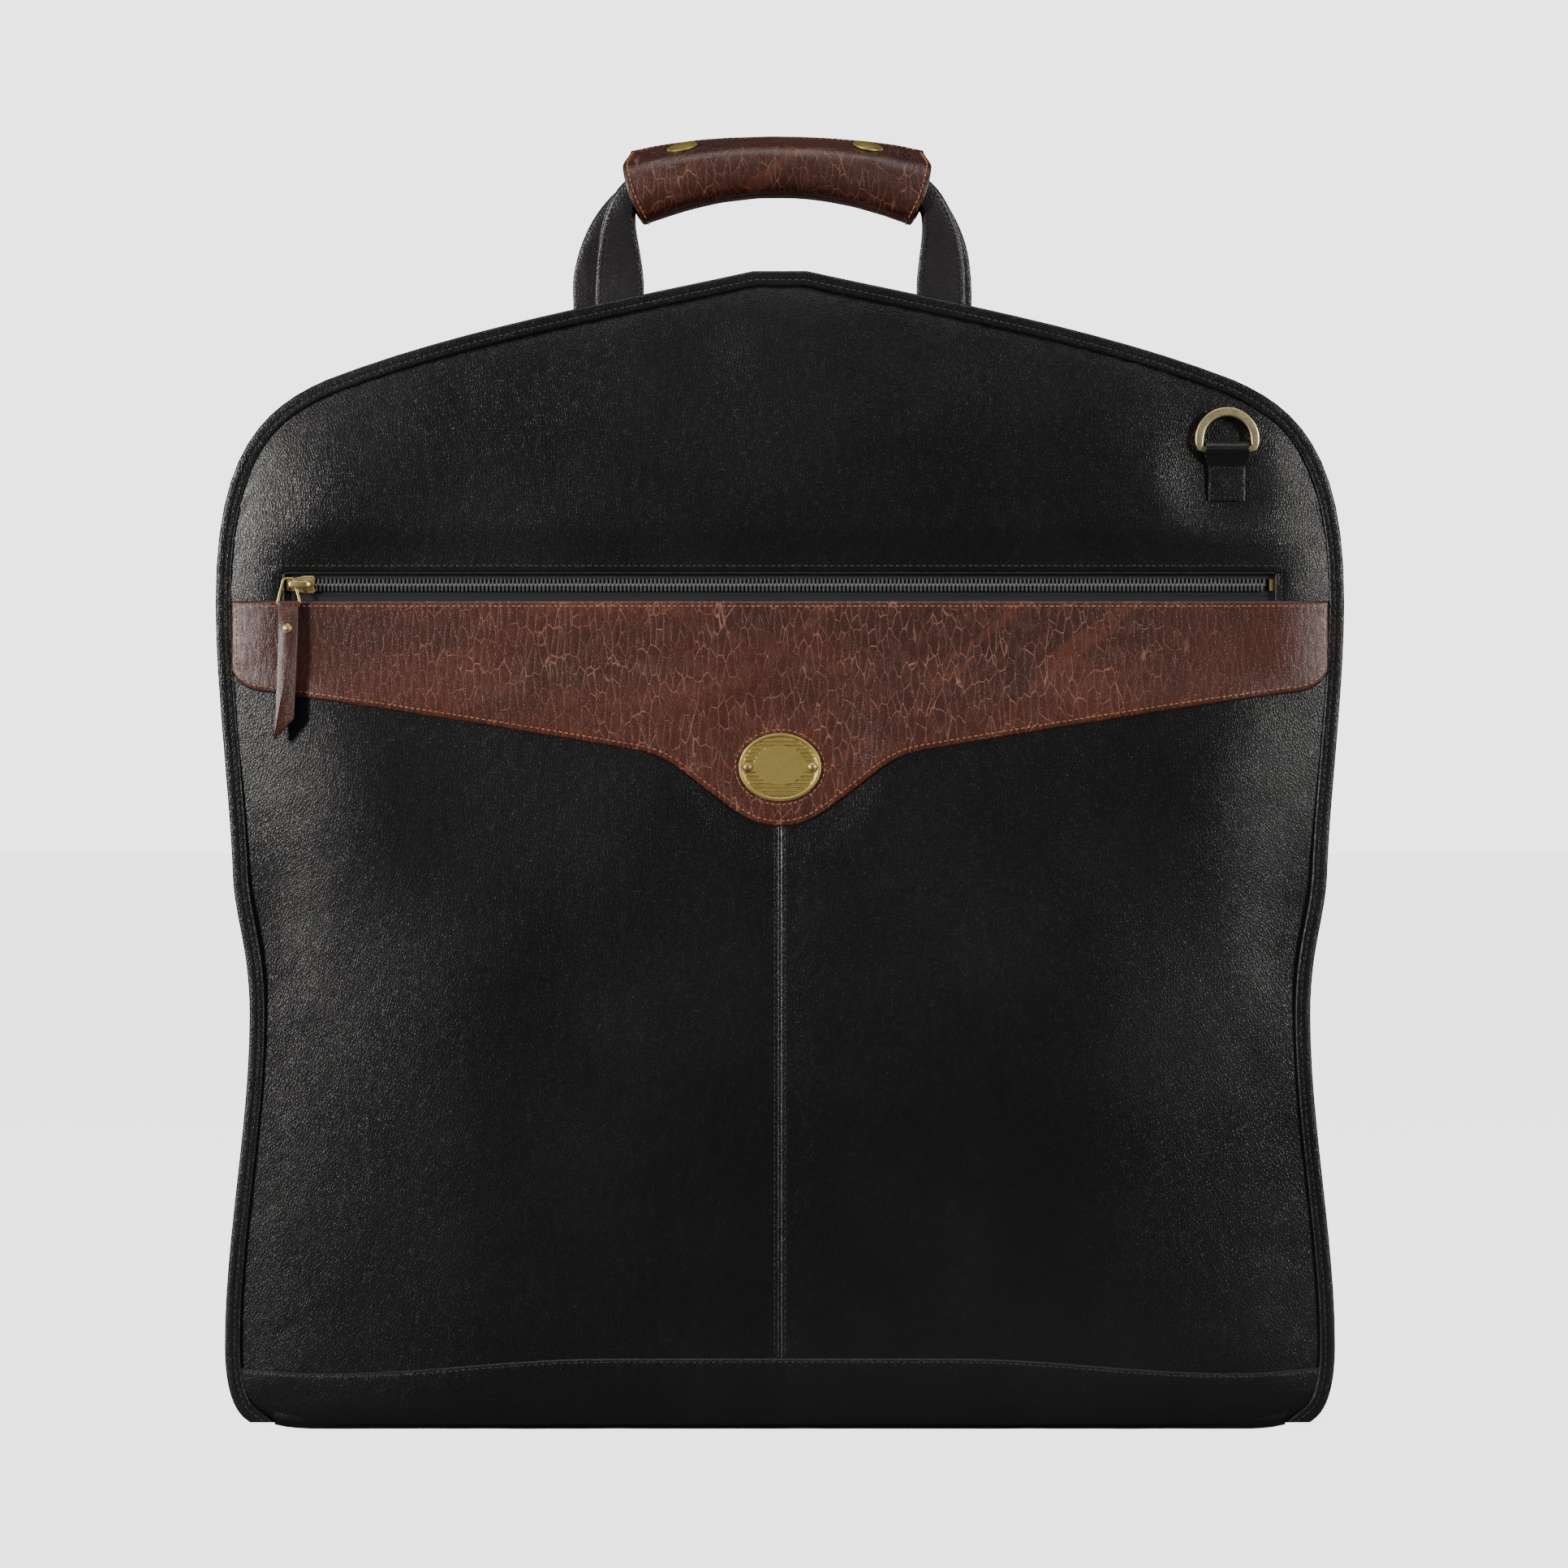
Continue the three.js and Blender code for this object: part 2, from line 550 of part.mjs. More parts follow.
// The centre line of a strap: up one leg, through the grip and down the other leg.
function strapLine(half) {
  const stations = [];
  for (const turn of [-1, 1]) {
    const [a, b] = LEGS[half][turn < 0 ? "left" : "right"];
    const foot = pt((a + b) / 2, TILT_Z + 0.6);
    const end = gripAt(turn * (GRIP.halfLength - 6));
    const slope = pt(turn * Math.cos(end.a), -turn * Math.sin(end.a));
    const curve = new THREE.CubicBezierCurve(
      foot, pt(foot.x, foot.y + 21), pt(end.x + 19 * slope.x, end.z + 19 * slope.y), pt(end.x, end.z),
    );
    const leg = [0, 0.15, 0.35, 0.55, 0.75, 1].map((t) => ({ at: curve.getPoint(t), t }));
    if (turn > 0) {
      for (const share of [-0.5, 0, 0.5]) {
        const g = gripAt(share * GRIP.halfLength);
        stations.push({ at: pt(g.x, g.z), t: 1 });
      }
      leg.reverse();
    }
    stations.push(...leg);
  }
  return stations;
}

// Flat at its roots, and rolled round where the wrap holds it.
function handleStrap(half, side) {
  const stations = strapLine(half);
  const footY = STRAP.from + STRAP.thick / 2;
  const footWidth = (LEGS[half].left[1] - LEGS[half].left[0]) / 2;
  const corners = [[-1, -0.5], [-0.7, -1], [0.7, -1], [1, -0.5], [1, 0.5], [0.7, 1], [-0.7, 1], [-1, 0.5]];
  const sections = [];
  const rings = stations.map(({ at, t }, i) => {
    const share = THREE.MathUtils.smoothstep(t, 0, 0.9);
    const before = stations[Math.max(0, i - 1)].at;
    const after = stations[Math.min(stations.length - 1, i + 1)].at;
    const along = t === 0 ? pt(0, i === 0 ? 1 : -1) : pt(after.x - before.x, after.y - before.y).normalize();
    const wide = THREE.MathUtils.lerp(footWidth, STRAP.roll, share);
    const deep = THREE.MathUtils.lerp(STRAP.thick / 2, STRAP.roll, share);
    const y = side * THREE.MathUtils.lerp(footY, STRAP.rollY, share);
    sections.push(corners.map(([u, v]) => pt(u * wide, v * deep)));
    return corners.map(([u, v]) =>
      new THREE.Vector3(at.x - along.y * u * wide, y + v * deep, at.y + along.x * u * wide));
  });
  // Each foot is rounded about the tilt axis, so that it rocks in its root.
  const feet = Object.values(LEGS[half]).map(([x0, x1]) => {
    const arc = [STRAP.from, 1.5, 2.7, 3.6, STRAP.rocker].map((y) =>
      pt(side * y, TILT_Z - Math.sqrt(STRAP.rocker ** 2 - y ** 2)));
    return bar([...arc, pt(side * STRAP.rocker, TILT_Z + 1), pt(side * STRAP.from, TILT_Z + 1)], x0, x1);
  });
  add(`${half}_handle_strap`, joined(loft(sections, rings), ...feet), BLACK_LEATHER);
}

handleStrap("front", -1);
handleStrap("rear", 1);

// ---------------------------------------------------------------- the wrap that holds both straps
// Sections in depth and in height over the grip's centre line: the base behind, and the flap in front.
const WRAP_BASE = pts(
  [-9, -16.6], [2, -16.9], [12, -14.5], [18, -8], [19.5, 1], [16.5, 9], [10, 12.9], [-6, 8.9],
  [-5.5, 6.8], [9, 10.4], [14.4, 7.2], [17, 1], [15.6, -7], [10.6, -12.3], [2, -14.5], [-9, -14.2],
);
const FLAP_TOP = [[8, 16.6], [-13, 11.4]];
const WRAP_FLAP = pts(
  ...FLAP_TOP, [-18, 8], [-19.6, 1], [-19, -7], [-15.5, -14], [-9.4, -16.5], [-9.4, -14],
  [-14, -11.7], [-16.7, -6.4], [-17.2, 1], [-15.8, 6.4], [-12, 9.3], [8.6, 14.4],
);
const TOP_SLOPE = Math.atan2(FLAP_TOP[0][1] - FLAP_TOP[1][1], FLAP_TOP[0][0] - FLAP_TOP[1][0]);

function wrapPiece(name, section) {
  const rings = [];
  for (let i = -6; i <= 6; i++) {
    const g = gripAt((i / 6) * GRIP.halfLength);
    const upright = g.a;
    const place = ({ x: y, y: h }) =>
      new THREE.Vector3(g.x + h * Math.sin(upright), y, g.z + h * Math.cos(upright));
    rings.push(section.map(place));
  }
  add(name, loft([section, section], rings), BROWN_LEATHER);
}

wrapPiece("wrap_base", WRAP_BASE);
wrapPiece("wrap_flap", WRAP_FLAP);

// The caps of the press studs, on the flap's sloping top.
const SNAPS = { left: -49.6, right: 44.5 };
for (const [name, x] of Object.entries(SNAPS)) {
  const g = gripAt(x - GRIP.x);
  const [y, h] = [-4.2, 13.9];
  const cap = button(8.1, 0.6, 1.6).rotateX(-Math.PI / 2 + TOP_SLOPE).rotateY(g.a);
  add(`snap_cap_${name}`, cap.translate(g.x + h * Math.sin(g.a), y, g.z + h * Math.cos(g.a)), BRASS);
}

export default bag;
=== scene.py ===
"""A bi-fold leather garment bag, folded for carrying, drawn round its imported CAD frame.

Shapes are drawn in millimetres, in the frame's axes, and piece() turns them into metres.
"""
import math

import bmesh
import bpy
from mathutils import Matrix, Vector, kdtree, noise


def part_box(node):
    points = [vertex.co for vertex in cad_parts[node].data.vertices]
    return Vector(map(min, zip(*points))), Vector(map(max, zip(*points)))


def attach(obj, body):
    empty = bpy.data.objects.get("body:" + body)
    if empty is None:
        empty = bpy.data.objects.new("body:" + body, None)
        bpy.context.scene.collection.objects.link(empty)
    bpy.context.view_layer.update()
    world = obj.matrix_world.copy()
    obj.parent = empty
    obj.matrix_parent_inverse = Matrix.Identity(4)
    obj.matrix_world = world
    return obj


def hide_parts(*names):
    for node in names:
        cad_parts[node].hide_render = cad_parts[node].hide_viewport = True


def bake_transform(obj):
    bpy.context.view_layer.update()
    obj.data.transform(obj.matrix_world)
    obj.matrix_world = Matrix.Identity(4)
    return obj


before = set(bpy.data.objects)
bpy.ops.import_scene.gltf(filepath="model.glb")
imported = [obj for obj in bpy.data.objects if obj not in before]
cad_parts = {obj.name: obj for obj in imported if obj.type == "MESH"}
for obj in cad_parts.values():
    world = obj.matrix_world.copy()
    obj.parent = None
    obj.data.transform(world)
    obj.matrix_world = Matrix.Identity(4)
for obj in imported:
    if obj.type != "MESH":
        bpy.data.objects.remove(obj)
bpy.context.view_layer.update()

MM = 0.001
PALE_GLOW = 3.2  # of the room and floor, as the camera sees them
DIM_GLOW = 0.06  # of the room, as a source of light
FRONT_SIDE, REAR_SIDE = -1, 1
SIDES = {"left": -1, "right": 1}
HALVES = {"front": FRONT_SIDE, "rear": REAR_SIDE}


def mm_box(node):
    """A CAD node's lowest and highest corners, in millimetres."""
    return [[c / MM for c in corner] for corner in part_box(node)]


def centre(node):
    return [(low + high) / 2 for low, high in zip(*mm_box(node))]


# ---- driving dimensions, from the frame
BODY_LOW, BODY_TOP = (corner[2] for corner in mm_box("front_outer_binding"))
SKIN = mm_box("rear_upper_panel")[1][1]  # outer face of each half, from the middle plane
INNER = mm_box("rear_inner_panel_left")[0][1]  # inner face of each half
YOKE_LOW, YOKE_HIGH = mm_box("yoke_trim")
WINDOW_X = mm_box("pocket_zip_welt")[1][0] - 3
WINDOW_TOP = mm_box("pocket_zip_welt")[1][2] - 3
COIL = {row: mm_box(f"pocket_zip_coil_{row}") for row in ("upper", "lower")}
ZIP_Z = (COIL["upper"][0][2] + COIL["lower"][1][2]) / 2
BINDING_WIDTH = 8
# The grip's arc: the middle of its top, its radius, and half its length.
GRIP = {"x": -1.5, "z": mm_box("wrap_flap")[1][2] - 16.6, "radius": 228, "half": 76}
TILT_Z = 600  # of the axis on which the straps tilt
FOLD_WIDTH = mm_box("fold_spine")[1][0]
MAIN_ZIP_X = mm_box("front_main_zip_chain")[1][0]
TAB_X = centre("front_d_ring_tab")[0]
RIM_SINK = 5.6  # how far the leather's edge lies behind the CAD's outer plane
PUFF, PUFF_REACH = 3.0, 64  # how far its middle stands in front of that plane, and over what width
UPPER_FROM = {"front": 415, "rear": 400}  # the panels overlap a little at their seam
LOWER_TO = {"front": 412, "rear": 409}
REAR_SEAM = 402
CLOSE = (0.45, 1.3)  # distances from an edge at which grids have extra lines


# ---- camera, light and floor
def camera():
    """The photo's view, level and straight in front."""
    data = bpy.data.cameras.new("camera")
    view_width, distance = 0.811, 2.4
    centre_x, centre_z = 0.0021, 0.3356
    data.sensor_width = 36
    data.lens = data.sensor_width * distance / view_width
    cam = bpy.data.objects.new("camera", data)
    cam.location = (centre_x, -SKIN * MM - distance, centre_z)
    cam.rotation_euler = (math.radians(90), 0, 0)
    bpy.context.collection.objects.link(cam)
    bpy.context.scene.camera = cam


def area_light(name, place, aim, size, power, colour=(1, 1, 1), spread=180):
    data = bpy.data.lights.new(name, "AREA")
    data.shape = "RECTANGLE"
    data.size, data.size_y = size
    data.energy = power
    data.color = colour
    data.spread = math.radians(spread)
    lamp = bpy.data.objects.new(name, data)
    lamp.location = place
    lamp.rotation_euler = (Vector(aim) - Vector(place)).to_track_quat("-Z", "Y").to_euler()
    bpy.context.collection.objects.link(lamp)


def studio():
    """A room that is pale to look at, but dim as a source, so that the softboxes shape the leather."""
    world = bpy.data.worlds.new("studio")
    world.use_nodes = True
    nodes, links = world.node_tree.nodes, world.node_tree.links
    seen = nodes.new("ShaderNodeLightPath").outputs["Is Camera Ray"]
    strength = nodes.new("ShaderNodeMapRange")
    links.new(seen, strength.inputs["Value"])
    strength.inputs["To Min"].default_value = DIM_GLOW
    strength.inputs["To Max"].default_value = PALE_GLOW
    links.new(strength.outputs[0], nodes["Background"].inputs["Strength"])
    nodes["Background"].inputs["Color"].default_value = (1, 1, 1, 1)
    bpy.context.scene.world = world
    warm, cool = (1, 0.975, 0.95), (0.98, 0.99, 1)
    for turn, power in ((-1, 4.5), (1, 2.8)):
        place, aim = (turn * 1.95, -1.62, 0.80), (turn * 0.2, 0, 0.50)
        area_light(f"softbox_{turn}", place, aim, (0.42, 0.9), power, warm, spread=44)
        area_light(f"rear_softbox_{turn}", (turn * 1.7, 1.7, 1.0), (0, 0, 0.35), (0.7, 1.1), 16, cool)
    area_light("top_softbox", (0, -0.6, 2.2), (0, 0, 0.4), (1.6, 1.0), 14)

    half = 20
    mesh = bpy.data.meshes.new("floor")
    corners = [(-half, -half, 0), (half, -half, 0), (half, half, 0), (-half, half, 0)]
    mesh.from_pydata(corners, [], [(0, 1, 2, 3)])
    floor = bpy.data.objects.new("floor", mesh)
    bpy.context.collection.objects.link(floor)
    paint = Paint("floor")
    seen = paint.node("LightPath").outputs["Is Camera Ray"]
    glow = paint.times(seen, PALE_GLOW * 0.88)
    paint.surface(color=(0.24, 0.24, 0.24, 1), roughness=0.9, emission=(1, 1, 1, 1), glow=glow)
    mesh.materials.append(paint.material)


# ---- materials
class Paint:
    """A node material, built a node at a time."""

    def __init__(self, name):
        self.material = bpy.data.materials.new(name)
        self.material.use_nodes = True
        self.tree = self.material.node_tree
        self.shader = self.tree.nodes["Principled BSDF"]

    def node(self, kind, wires=(), **settings):
        made = self.tree.nodes.new("ShaderNode" + kind)
        for key, value in settings.items():
            setattr(made, key, value)
        for socket, value in dict(wires).items():
            self.wire(made.inputs[socket], value)
        return made

    def wire(self, socket, value):
        if isinstance(value, bpy.types.NodeSocket):
            self.tree.links.new(value, socket)
        else:
            socket.default_value = value

    def place(self, stretch=(1, 1, 1), warp=0.0, warp_scale=60):
        """Object coordinates, stretched and bent by a soft noise."""
        at = self.node("TexCoord").outputs["Object"]
        at = self.node("Mapping", {"Vector": at, "Scale": stretch}).outputs[0]
        if not warp:
            return at
        bend = self.node("TexNoise", {"Vector": at, "Scale": warp_scale, "Detail": 2.0}).outputs["Color"]
        bend = self.node("VectorMath", {0: bend, 1: (0.5, 0.5, 0.5)}, operation="SUBTRACT").outputs[0]
        bend = self.node("VectorMath", {0: bend, "Scale": warp}, operation="SCALE").outputs[0]
        return self.node("VectorMath", {0: at, 1: bend}, operation="ADD").outputs[0]

    def noise(self, at, scale, detail=3.0, rough=0.55):
        wires = {"Vector": at, "Scale": scale, "Detail": detail, "Roughness": rough}
        return self.node("TexNoise", wires).outputs["Fac"]

    def cells(self, at, scale, feature="DISTANCE_TO_EDGE"):
        made = self.node("TexVoronoi", {"Vector": at, "Scale": scale}, feature=feature)
        return made.outputs["Color" if feature == "F1" else "Distance"]

    def span(self, value, low, high, to_low=0.0, to_high=1.0):
        wires = {"Value": value, 1: low, 2: high, 3: to_low, 4: to_high}
        return self.node("MapRange", wires, interpolation_type="SMOOTHSTEP").outputs[0]

    def math(self, operation, a, b=0.0):
        return self.node("Math", {0: a, 1: b}, operation=operation).outputs[0]

    def times(self, a, b):
        return self.math("MULTIPLY", a, b)

    def plus(self, a, b):
        return self.math("ADD", a, b)

    def mix(self, share, a, b):
        made = self.node("Mix", data_type="RGBA")
        for socket, value in ((made.inputs[0], share), (made.inputs[6], a), (made.inputs[7], b)):
            self.wire(socket, value)
        return made.outputs[2]

    def bump(self, height, depth, strength=1.0, under=None):
        wires = {"Height": height, "Distance": depth, "Strength": strength}
        if under is not None:
            wires["Normal"] = under
        return self.node("Bump", wires).outputs[0]

    def surface(self, color=None, roughness=None, metal=0.0, normal=None, emission=None, glow=0.0,
                **constants):
        wires = {"Base Color": color, "Roughness": roughness, "Metallic": metal, "Normal": normal}
        if emission is not None:
            wires.update({"Emission Color": emission, "Emission Strength": glow})
        for socket, value in wires.items():
            if value is not None:
                self.wire(self.shader.inputs[socket], value)
        for socket, value in constants.items():
            self.shader.inputs[socket.replace("_", " ")].default_value = value
        return self.material


def tinted(color, share=1.0):
    """A colour made darker or lighter, with its alpha."""
    return [c * share for c in color] + [1]


def black_leather(name="black_leather", grain=760, tone=1.0):
    """Soft pebbled leather: small grain, finer pores and low bumps, with a gloss that varies."""
    p = Paint(name)
    at = p.place(warp=0.0016, warp_scale=150)
    pebbles = p.span(p.cells(at, grain), 0.0, 0.3)
    pores = p.noise(at, 2600, 2.0)
    hide = p.noise(p.place(), 9, 4.0)
    height = p.plus(p.times(pebbles, 0.65), p.times(pores, 0.3))
    soft = p.noise(p.place(), 150, 4.0, 0.6)
    normal = p.bump(height, 0.00022, 0.5, p.bump(soft, 0.0006, 0.22))
    deep, light = tinted((0.0028, 0.0025, 0.0027), tone), tinted((0.0060, 0.0052, 0.0050), tone)
    color = p.mix(p.times(height, p.span(hide, 0.3, 0.75, 0.5, 1)), deep, light)
    rough = p.plus(p.span(hide, 0.3, 0.7, 0.33, 0.40), p.times(height, -0.05))
    return p.surface(color, rough, normal=normal, Specular_IOR_Level=0.5, Sheen_Weight=0.02,
                     Sheen_Roughness=0.4)


def brown_leather(name="brown_leather", tone=1.0):
    """Shrunken-grain leather: dark raised grain, with pale veins that fade towards the bag's sides."""
    p = Paint(name)
    veins_at = p.place(stretch=(1.5, 0.8, 0.5), warp=0.0024, warp_scale=120)
    coarse = p.cells(veins_at, 168)
    fine = p.cells(p.place(warp=0.0016, warp_scale=170), 800)
    out_from_middle = p.node("SeparateXYZ", {0: p.place()}).outputs["X"]
    at_side = p.span(p.math("ABSOLUTE", out_from_middle), 0.15, 0.25)
    patch = p.span(p.noise(p.place(), 90, 3.0), 0.36, 0.6, 0.2, 1)
    veins = p.times(p.span(coarse, 0.006, 0.036, 1, 0), patch)
    small_patch = p.span(p.noise(p.place(), 130, 3.0), 0.45, 0.65, 0.0, 0.3)
    small = p.times(p.span(fine, 0.02, 0.12, 1, 0), small_patch)
    middle = p.math("SUBTRACT", 1.0, at_side)
    strength = p.plus(p.times(middle, 0.75), 0.25)
    pale = p.times(p.math("MAXIMUM", veins, small), strength)
    hide = p.noise(p.place(stretch=(1, 1, 1.6)), 11, 5.0)
    dark, light = tinted((0.036, 0.0062, 0.0028), tone), tinted((0.082, 0.0160, 0.0062), tone)
    base = p.mix(p.span(hide, 0.3, 0.72), dark, light)
    slanted = {"Vector": p.place(warp=0.01, warp_scale=12), "Rotation": (0, math.radians(38), 0)}
    drawn_out = {"Vector": p.node("Mapping", slanted).outputs[0], "Scale": (0.06, 1, 1)}
    scars = p.span(p.noise(p.node("Mapping", drawn_out).outputs[0], 75, 1.0), 0.66, 0.70)
    color = p.mix(p.times(scars, 0.2), base, (0.20, 0.050, 0.018, 1))
    color = p.mix(p.times(pale, 0.52 * tone), color, (0.46, 0.205, 0.140, 1))
    pits = p.times(p.span(fine, 0.02, 0.16, 1, 0), p.plus(p.times(at_side, 0.3), 0.3))
    color = p.mix(pits, color, (0.028, 0.0055, 0.0035, 1))
    domes = p.span(coarse, 0.0, 0.3)
    height = p.plus(p.times(domes, 0.6), p.times(p.span(fine, 0, 0.25), 0.4))
    normal = p.bump(height, 0.00034, 0.5, p.bump(p.noise(p.place(), 1500, 3.0), 0.0001, 0.4))
    rough = p.plus(0.38, p.times(pale, 0.12))
    return p.surface(color, rough, normal=normal, Specular_IOR_Level=0.5, Coat_Weight=0.4, Coat_Roughness=0.4)


def metal(name, bright, dark, rough):
    """Plated metal, dulled in patches and finely scratched."""
    p = Paint(name)
    patches = p.span(p.noise(p.place(), 90, 5.0, 0.7), 0.35, 0.68)
    scratches = p.noise(p.place(stretch=(1, 1, 8)), 900, 3.0)
    color = p.mix(p.times(patches, 0.75), bright, dark)
    scratched = p.span(scratches, 0.3, 0.7, rough - 0.05, rough + 0.07)
    roughness = p.plus(p.times(patches, 0.12), scratched)
    return p.surface(color, roughness, metal=1.0, normal=p.bump(scratches, 0.00002, 0.35))


def woven(name, color, pitch, slant=0.0):
    """Cloth of two crossed sets of yarns, a pitch apart in millimetres."""
    p = Paint(name)
    at = p.place()
    turned = p.node("Mapping", {"Vector": at, "Rotation": (0, slant, 0)}).outputs[0]
    scale = math.pi / (pitch * MM) / 10
    warp = p.node("TexWave", {"Vector": turned, "Scale": scale}, bands_direction="X").outputs["Fac"]
    weft = p.node("TexWave", {"Vector": turned, "Scale": scale}, bands_direction="Z").outputs["Fac"]
    yarns = p.math("MAXIMUM", p.times(warp, 0.9), weft)
    fuzz = p.noise(at, 1800, 3.0)
    shade = p.plus(p.times(yarns, 0.55), p.times(fuzz, 0.45))
    mixed, normal = p.mix(shade, tinted(color, 0.45), tinted(color)), p.bump(shade, pitch * 0.12 * MM, 0.6)
    return p.surface(mixed, 0.78, normal=normal, Sheen_Weight=0.12, Sheen_Roughness=0.5)


def thread(name, color):
    """Twisted sewing thread."""
    p = Paint(name)
    wires = {"Vector": p.place(), "Scale": 260.0, "Distortion": 1.0}
    twist = p.node("TexWave", wires, bands_direction="DIAGONAL").outputs["Fac"]
    worn = p.noise(p.place(), 240, 3.0)
    shade = p.times(twist, p.span(worn, 0.3, 0.7, 0.5, 1))
    return p.surface(p.mix(shade, tinted(color, 0.4), tinted(color)), 0.6, normal=p.bump(twist, 0.00006, 0.5))


def nylon():
    p = Paint("zip_nylon")
    haze = p.noise(p.place(), 700, 3.0)
    color = p.mix(haze, (0.060, 0.062, 0.068, 1), (0.125, 0.128, 0.138, 1))
    rough = p.span(haze, 0.3, 0.7, 0.16, 0.3)
    return p.surface(color, rough, normal=p.bump(haze, 0.00003, 0.3), Specular_IOR_Level=0.9)


def board():
    p = Paint("stiffener_board")
    fibres = p.noise(p.place(stretch=(1, 1, 5)), 420, 5.0, 0.7)
    color = p.mix(fibres, (0.10, 0.062, 0.035, 1), (0.22, 0.15, 0.09, 1))
    return p.surface(color, p.span(fibres, 0.3, 0.7, 0.75, 0.95), normal=p.bump(fibres, 0.0002, 0.4))


BLACK = black_leather()
STRAP_BLACK = black_leather("strap_leather", grain=640, tone=5.5)
BROWN = brown_leather()
WRAP_BROWN = brown_leather("wrap_leather", tone=0.8)
BRASS = metal("antique_brass", (0.74, 0.58, 0.27, 1), (0.34, 0.24, 0.09, 1), 0.34)
STEEL = metal("plated_steel", (0.50, 0.49, 0.47, 1), (0.24, 0.23, 0.22, 1), 0.28)
TAPE = woven("zip_tape", (0.0095, 0.0108, 0.0165), 0.7, math.radians(45))
LINING = woven("lining_fabric", (0.035, 0.031, 0.028), 0.55)
COIL_NYLON = nylon()
BLACK_THREAD = thread("black_thread", (0.070, 0.065, 0.061))
TAN_THREAD = thread("tan_thread", (0.72, 0.27, 0.105))
BOARD = board()
BADGE_BRASS = metal("badge_brass", (0.62, 0.49, 0.17, 1), (0.34, 0.25, 0.07, 1), 0.45)
RING_BRASS = metal("ring_brass", (0.86, 0.75, 0.45, 1), (0.55, 0.45, 0.22, 1), 0.32)


# ---- building pieces
def piece(name, shape, paint, body, replaces=(), bend=None, sharp=50):
    """Makes a piece from (points, faces) in millimetres and lets it ride on a body; with a bend, only its
    transform is baked.
    """
    points, faces = shape
    mesh = bpy.data.meshes.new(name)
    mesh.from_pydata([Vector(p) * MM for p in points], [], faces)
    tidy = bmesh.new()
    tidy.from_mesh(mesh)
    bmesh.ops.remove_doubles(tidy, verts=tidy.verts, dist=1e-6)
    bmesh.ops.recalc_face_normals(tidy, faces=tidy.faces)
    tidy.to_mesh(mesh)
    tidy.free()
    mesh.shade_smooth()
    mesh.set_sharp_from_angle(angle=math.radians(sharp))
    mesh.materials.append(paint)
    made = bpy.data.objects.new(name, mesh)
    bpy.context.collection.objects.link(made)
    if bend:
        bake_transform(made)
    else:
        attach(made, body)
    if replaces:
        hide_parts(*replaces)
    return made


def merge(*shapes):
    """Several shapes as one list of points and faces."""
    points, faces = [], []
    for more_points, more_faces in shapes:
        first = len(points)
        points += more_points
        faces += [[first + i for i in face] for face in more_faces]
    return points, faces


FACING_FRONT = Matrix.Rotation(math.radians(90), 4, "X")  # turns a lathed piece's Z to the front


def dome(name, profile, at, turn, paint, body, replaced, steps=24):
    """A lathed cap, turned and put in its place."""
    points, faces = lathe(profile, steps)
    place = Matrix.Translation(at) @ turn
    piece(name, ([place @ Vector(p) for p in points], faces), paint, body, replaces=(replaced,))


def tube(rings, closed=False):
    """A skin over rings of points. Open tubes have their ends filled."""
    n = len(rings[0])
    points = [p for ring in rings for p in ring]
    faces = []
    for i in range(len(rings) if closed else len(rings) - 1):
        k = (i + 1) % len(rings)
        faces += [[i * n + j, i * n + (j + 1) % n, k * n + (j + 1) % n, k * n + j] for j in range(n)]
    if not closed:
        faces += [list(range(n)), [len(points) - n + j for j in reversed(range(n))]]
    return points, faces


def lathe(profile, steps=28):
    """A round piece about the Z axis, from (radius, height) points that start and end on the axis."""
    inner = profile[1:-1]
    rings = [[(r * math.cos(a), r * math.sin(a), h) for a in (math.tau * i / steps for i in range(steps))]
             for r, h in inner]
    points = [p for ring in rings for p in ring] + [(0, 0, profile[0][1]), (0, 0, profile[-1][1])]
    faces = []
    for i in range(len(rings) - 1):
        faces += [[i * steps + j, i * steps + (j + 1) % steps, (i + 1) * steps + (j + 1) % steps,
                   (i + 1) * steps + j] for j in range(steps)]
    last = (len(rings) - 1) * steps
    faces += [[(j + 1) % steps, j, len(points) - 2] for j in range(steps)]
    faces += [[last + j, last + (j + 1) % steps, len(points) - 1] for j in range(steps)]
    return points, faces


def slab(grid, inward, rounding=(1.0, 0.42, 0.12)):
    """A grid of outer-face points, with None where there is a hole, thickened inwards with rounded rims."""
    index, points, faces = {}, [], []
    for r, row in enumerate(grid):
        for c, p in enumerate(row):
            if p is not None:
                index[r, c] = len(points)
                points.append(Vector(p))
    for r in range(len(grid) - 1):
        for c in range(len(grid[0]) - 1):
            corners = [(r, c), (r, c + 1), (r + 1, c + 1), (r + 1, c)]
            if all(k in index for k in corners):
                faces.append([index[k] for k in corners])
    edges = {}
    for face in faces:
        for a, b in zip(face, face[1:] + face[:1]):
            edges[frozenset((a, b))] = edges.get(frozenset((a, b)), []) + [(a, b)]
    rim = [pairs[0] for pairs in edges.values() if len(pairs) == 1]
    ring = {i for pair in rim for i in pair}
    near = {}
    for a, b in (tuple(edge) for edge in edges):
        near.setdefault(a, set()).add(b)
        near.setdefault(b, set()).add(a)
    inward = Vector(inward)
    back = [p + inward for p in points]
    depth, reached = {}, set()
    for share in rounding:
        depth.update({i: share for i in ring - reached})
        reached |= ring
        ring = {j for i in ring for j in near[i]} - reached
    outer = [p + inward * depth.get(i, 0) * 0.92 for i, p in enumerate(points)]
    n = len(points)
    faces_back = [[n + i for i in reversed(face)] for face in faces]
    walls = [[b, a, n + a, n + b] for a, b in rim]
    return outer + back, faces + faces_back + walls


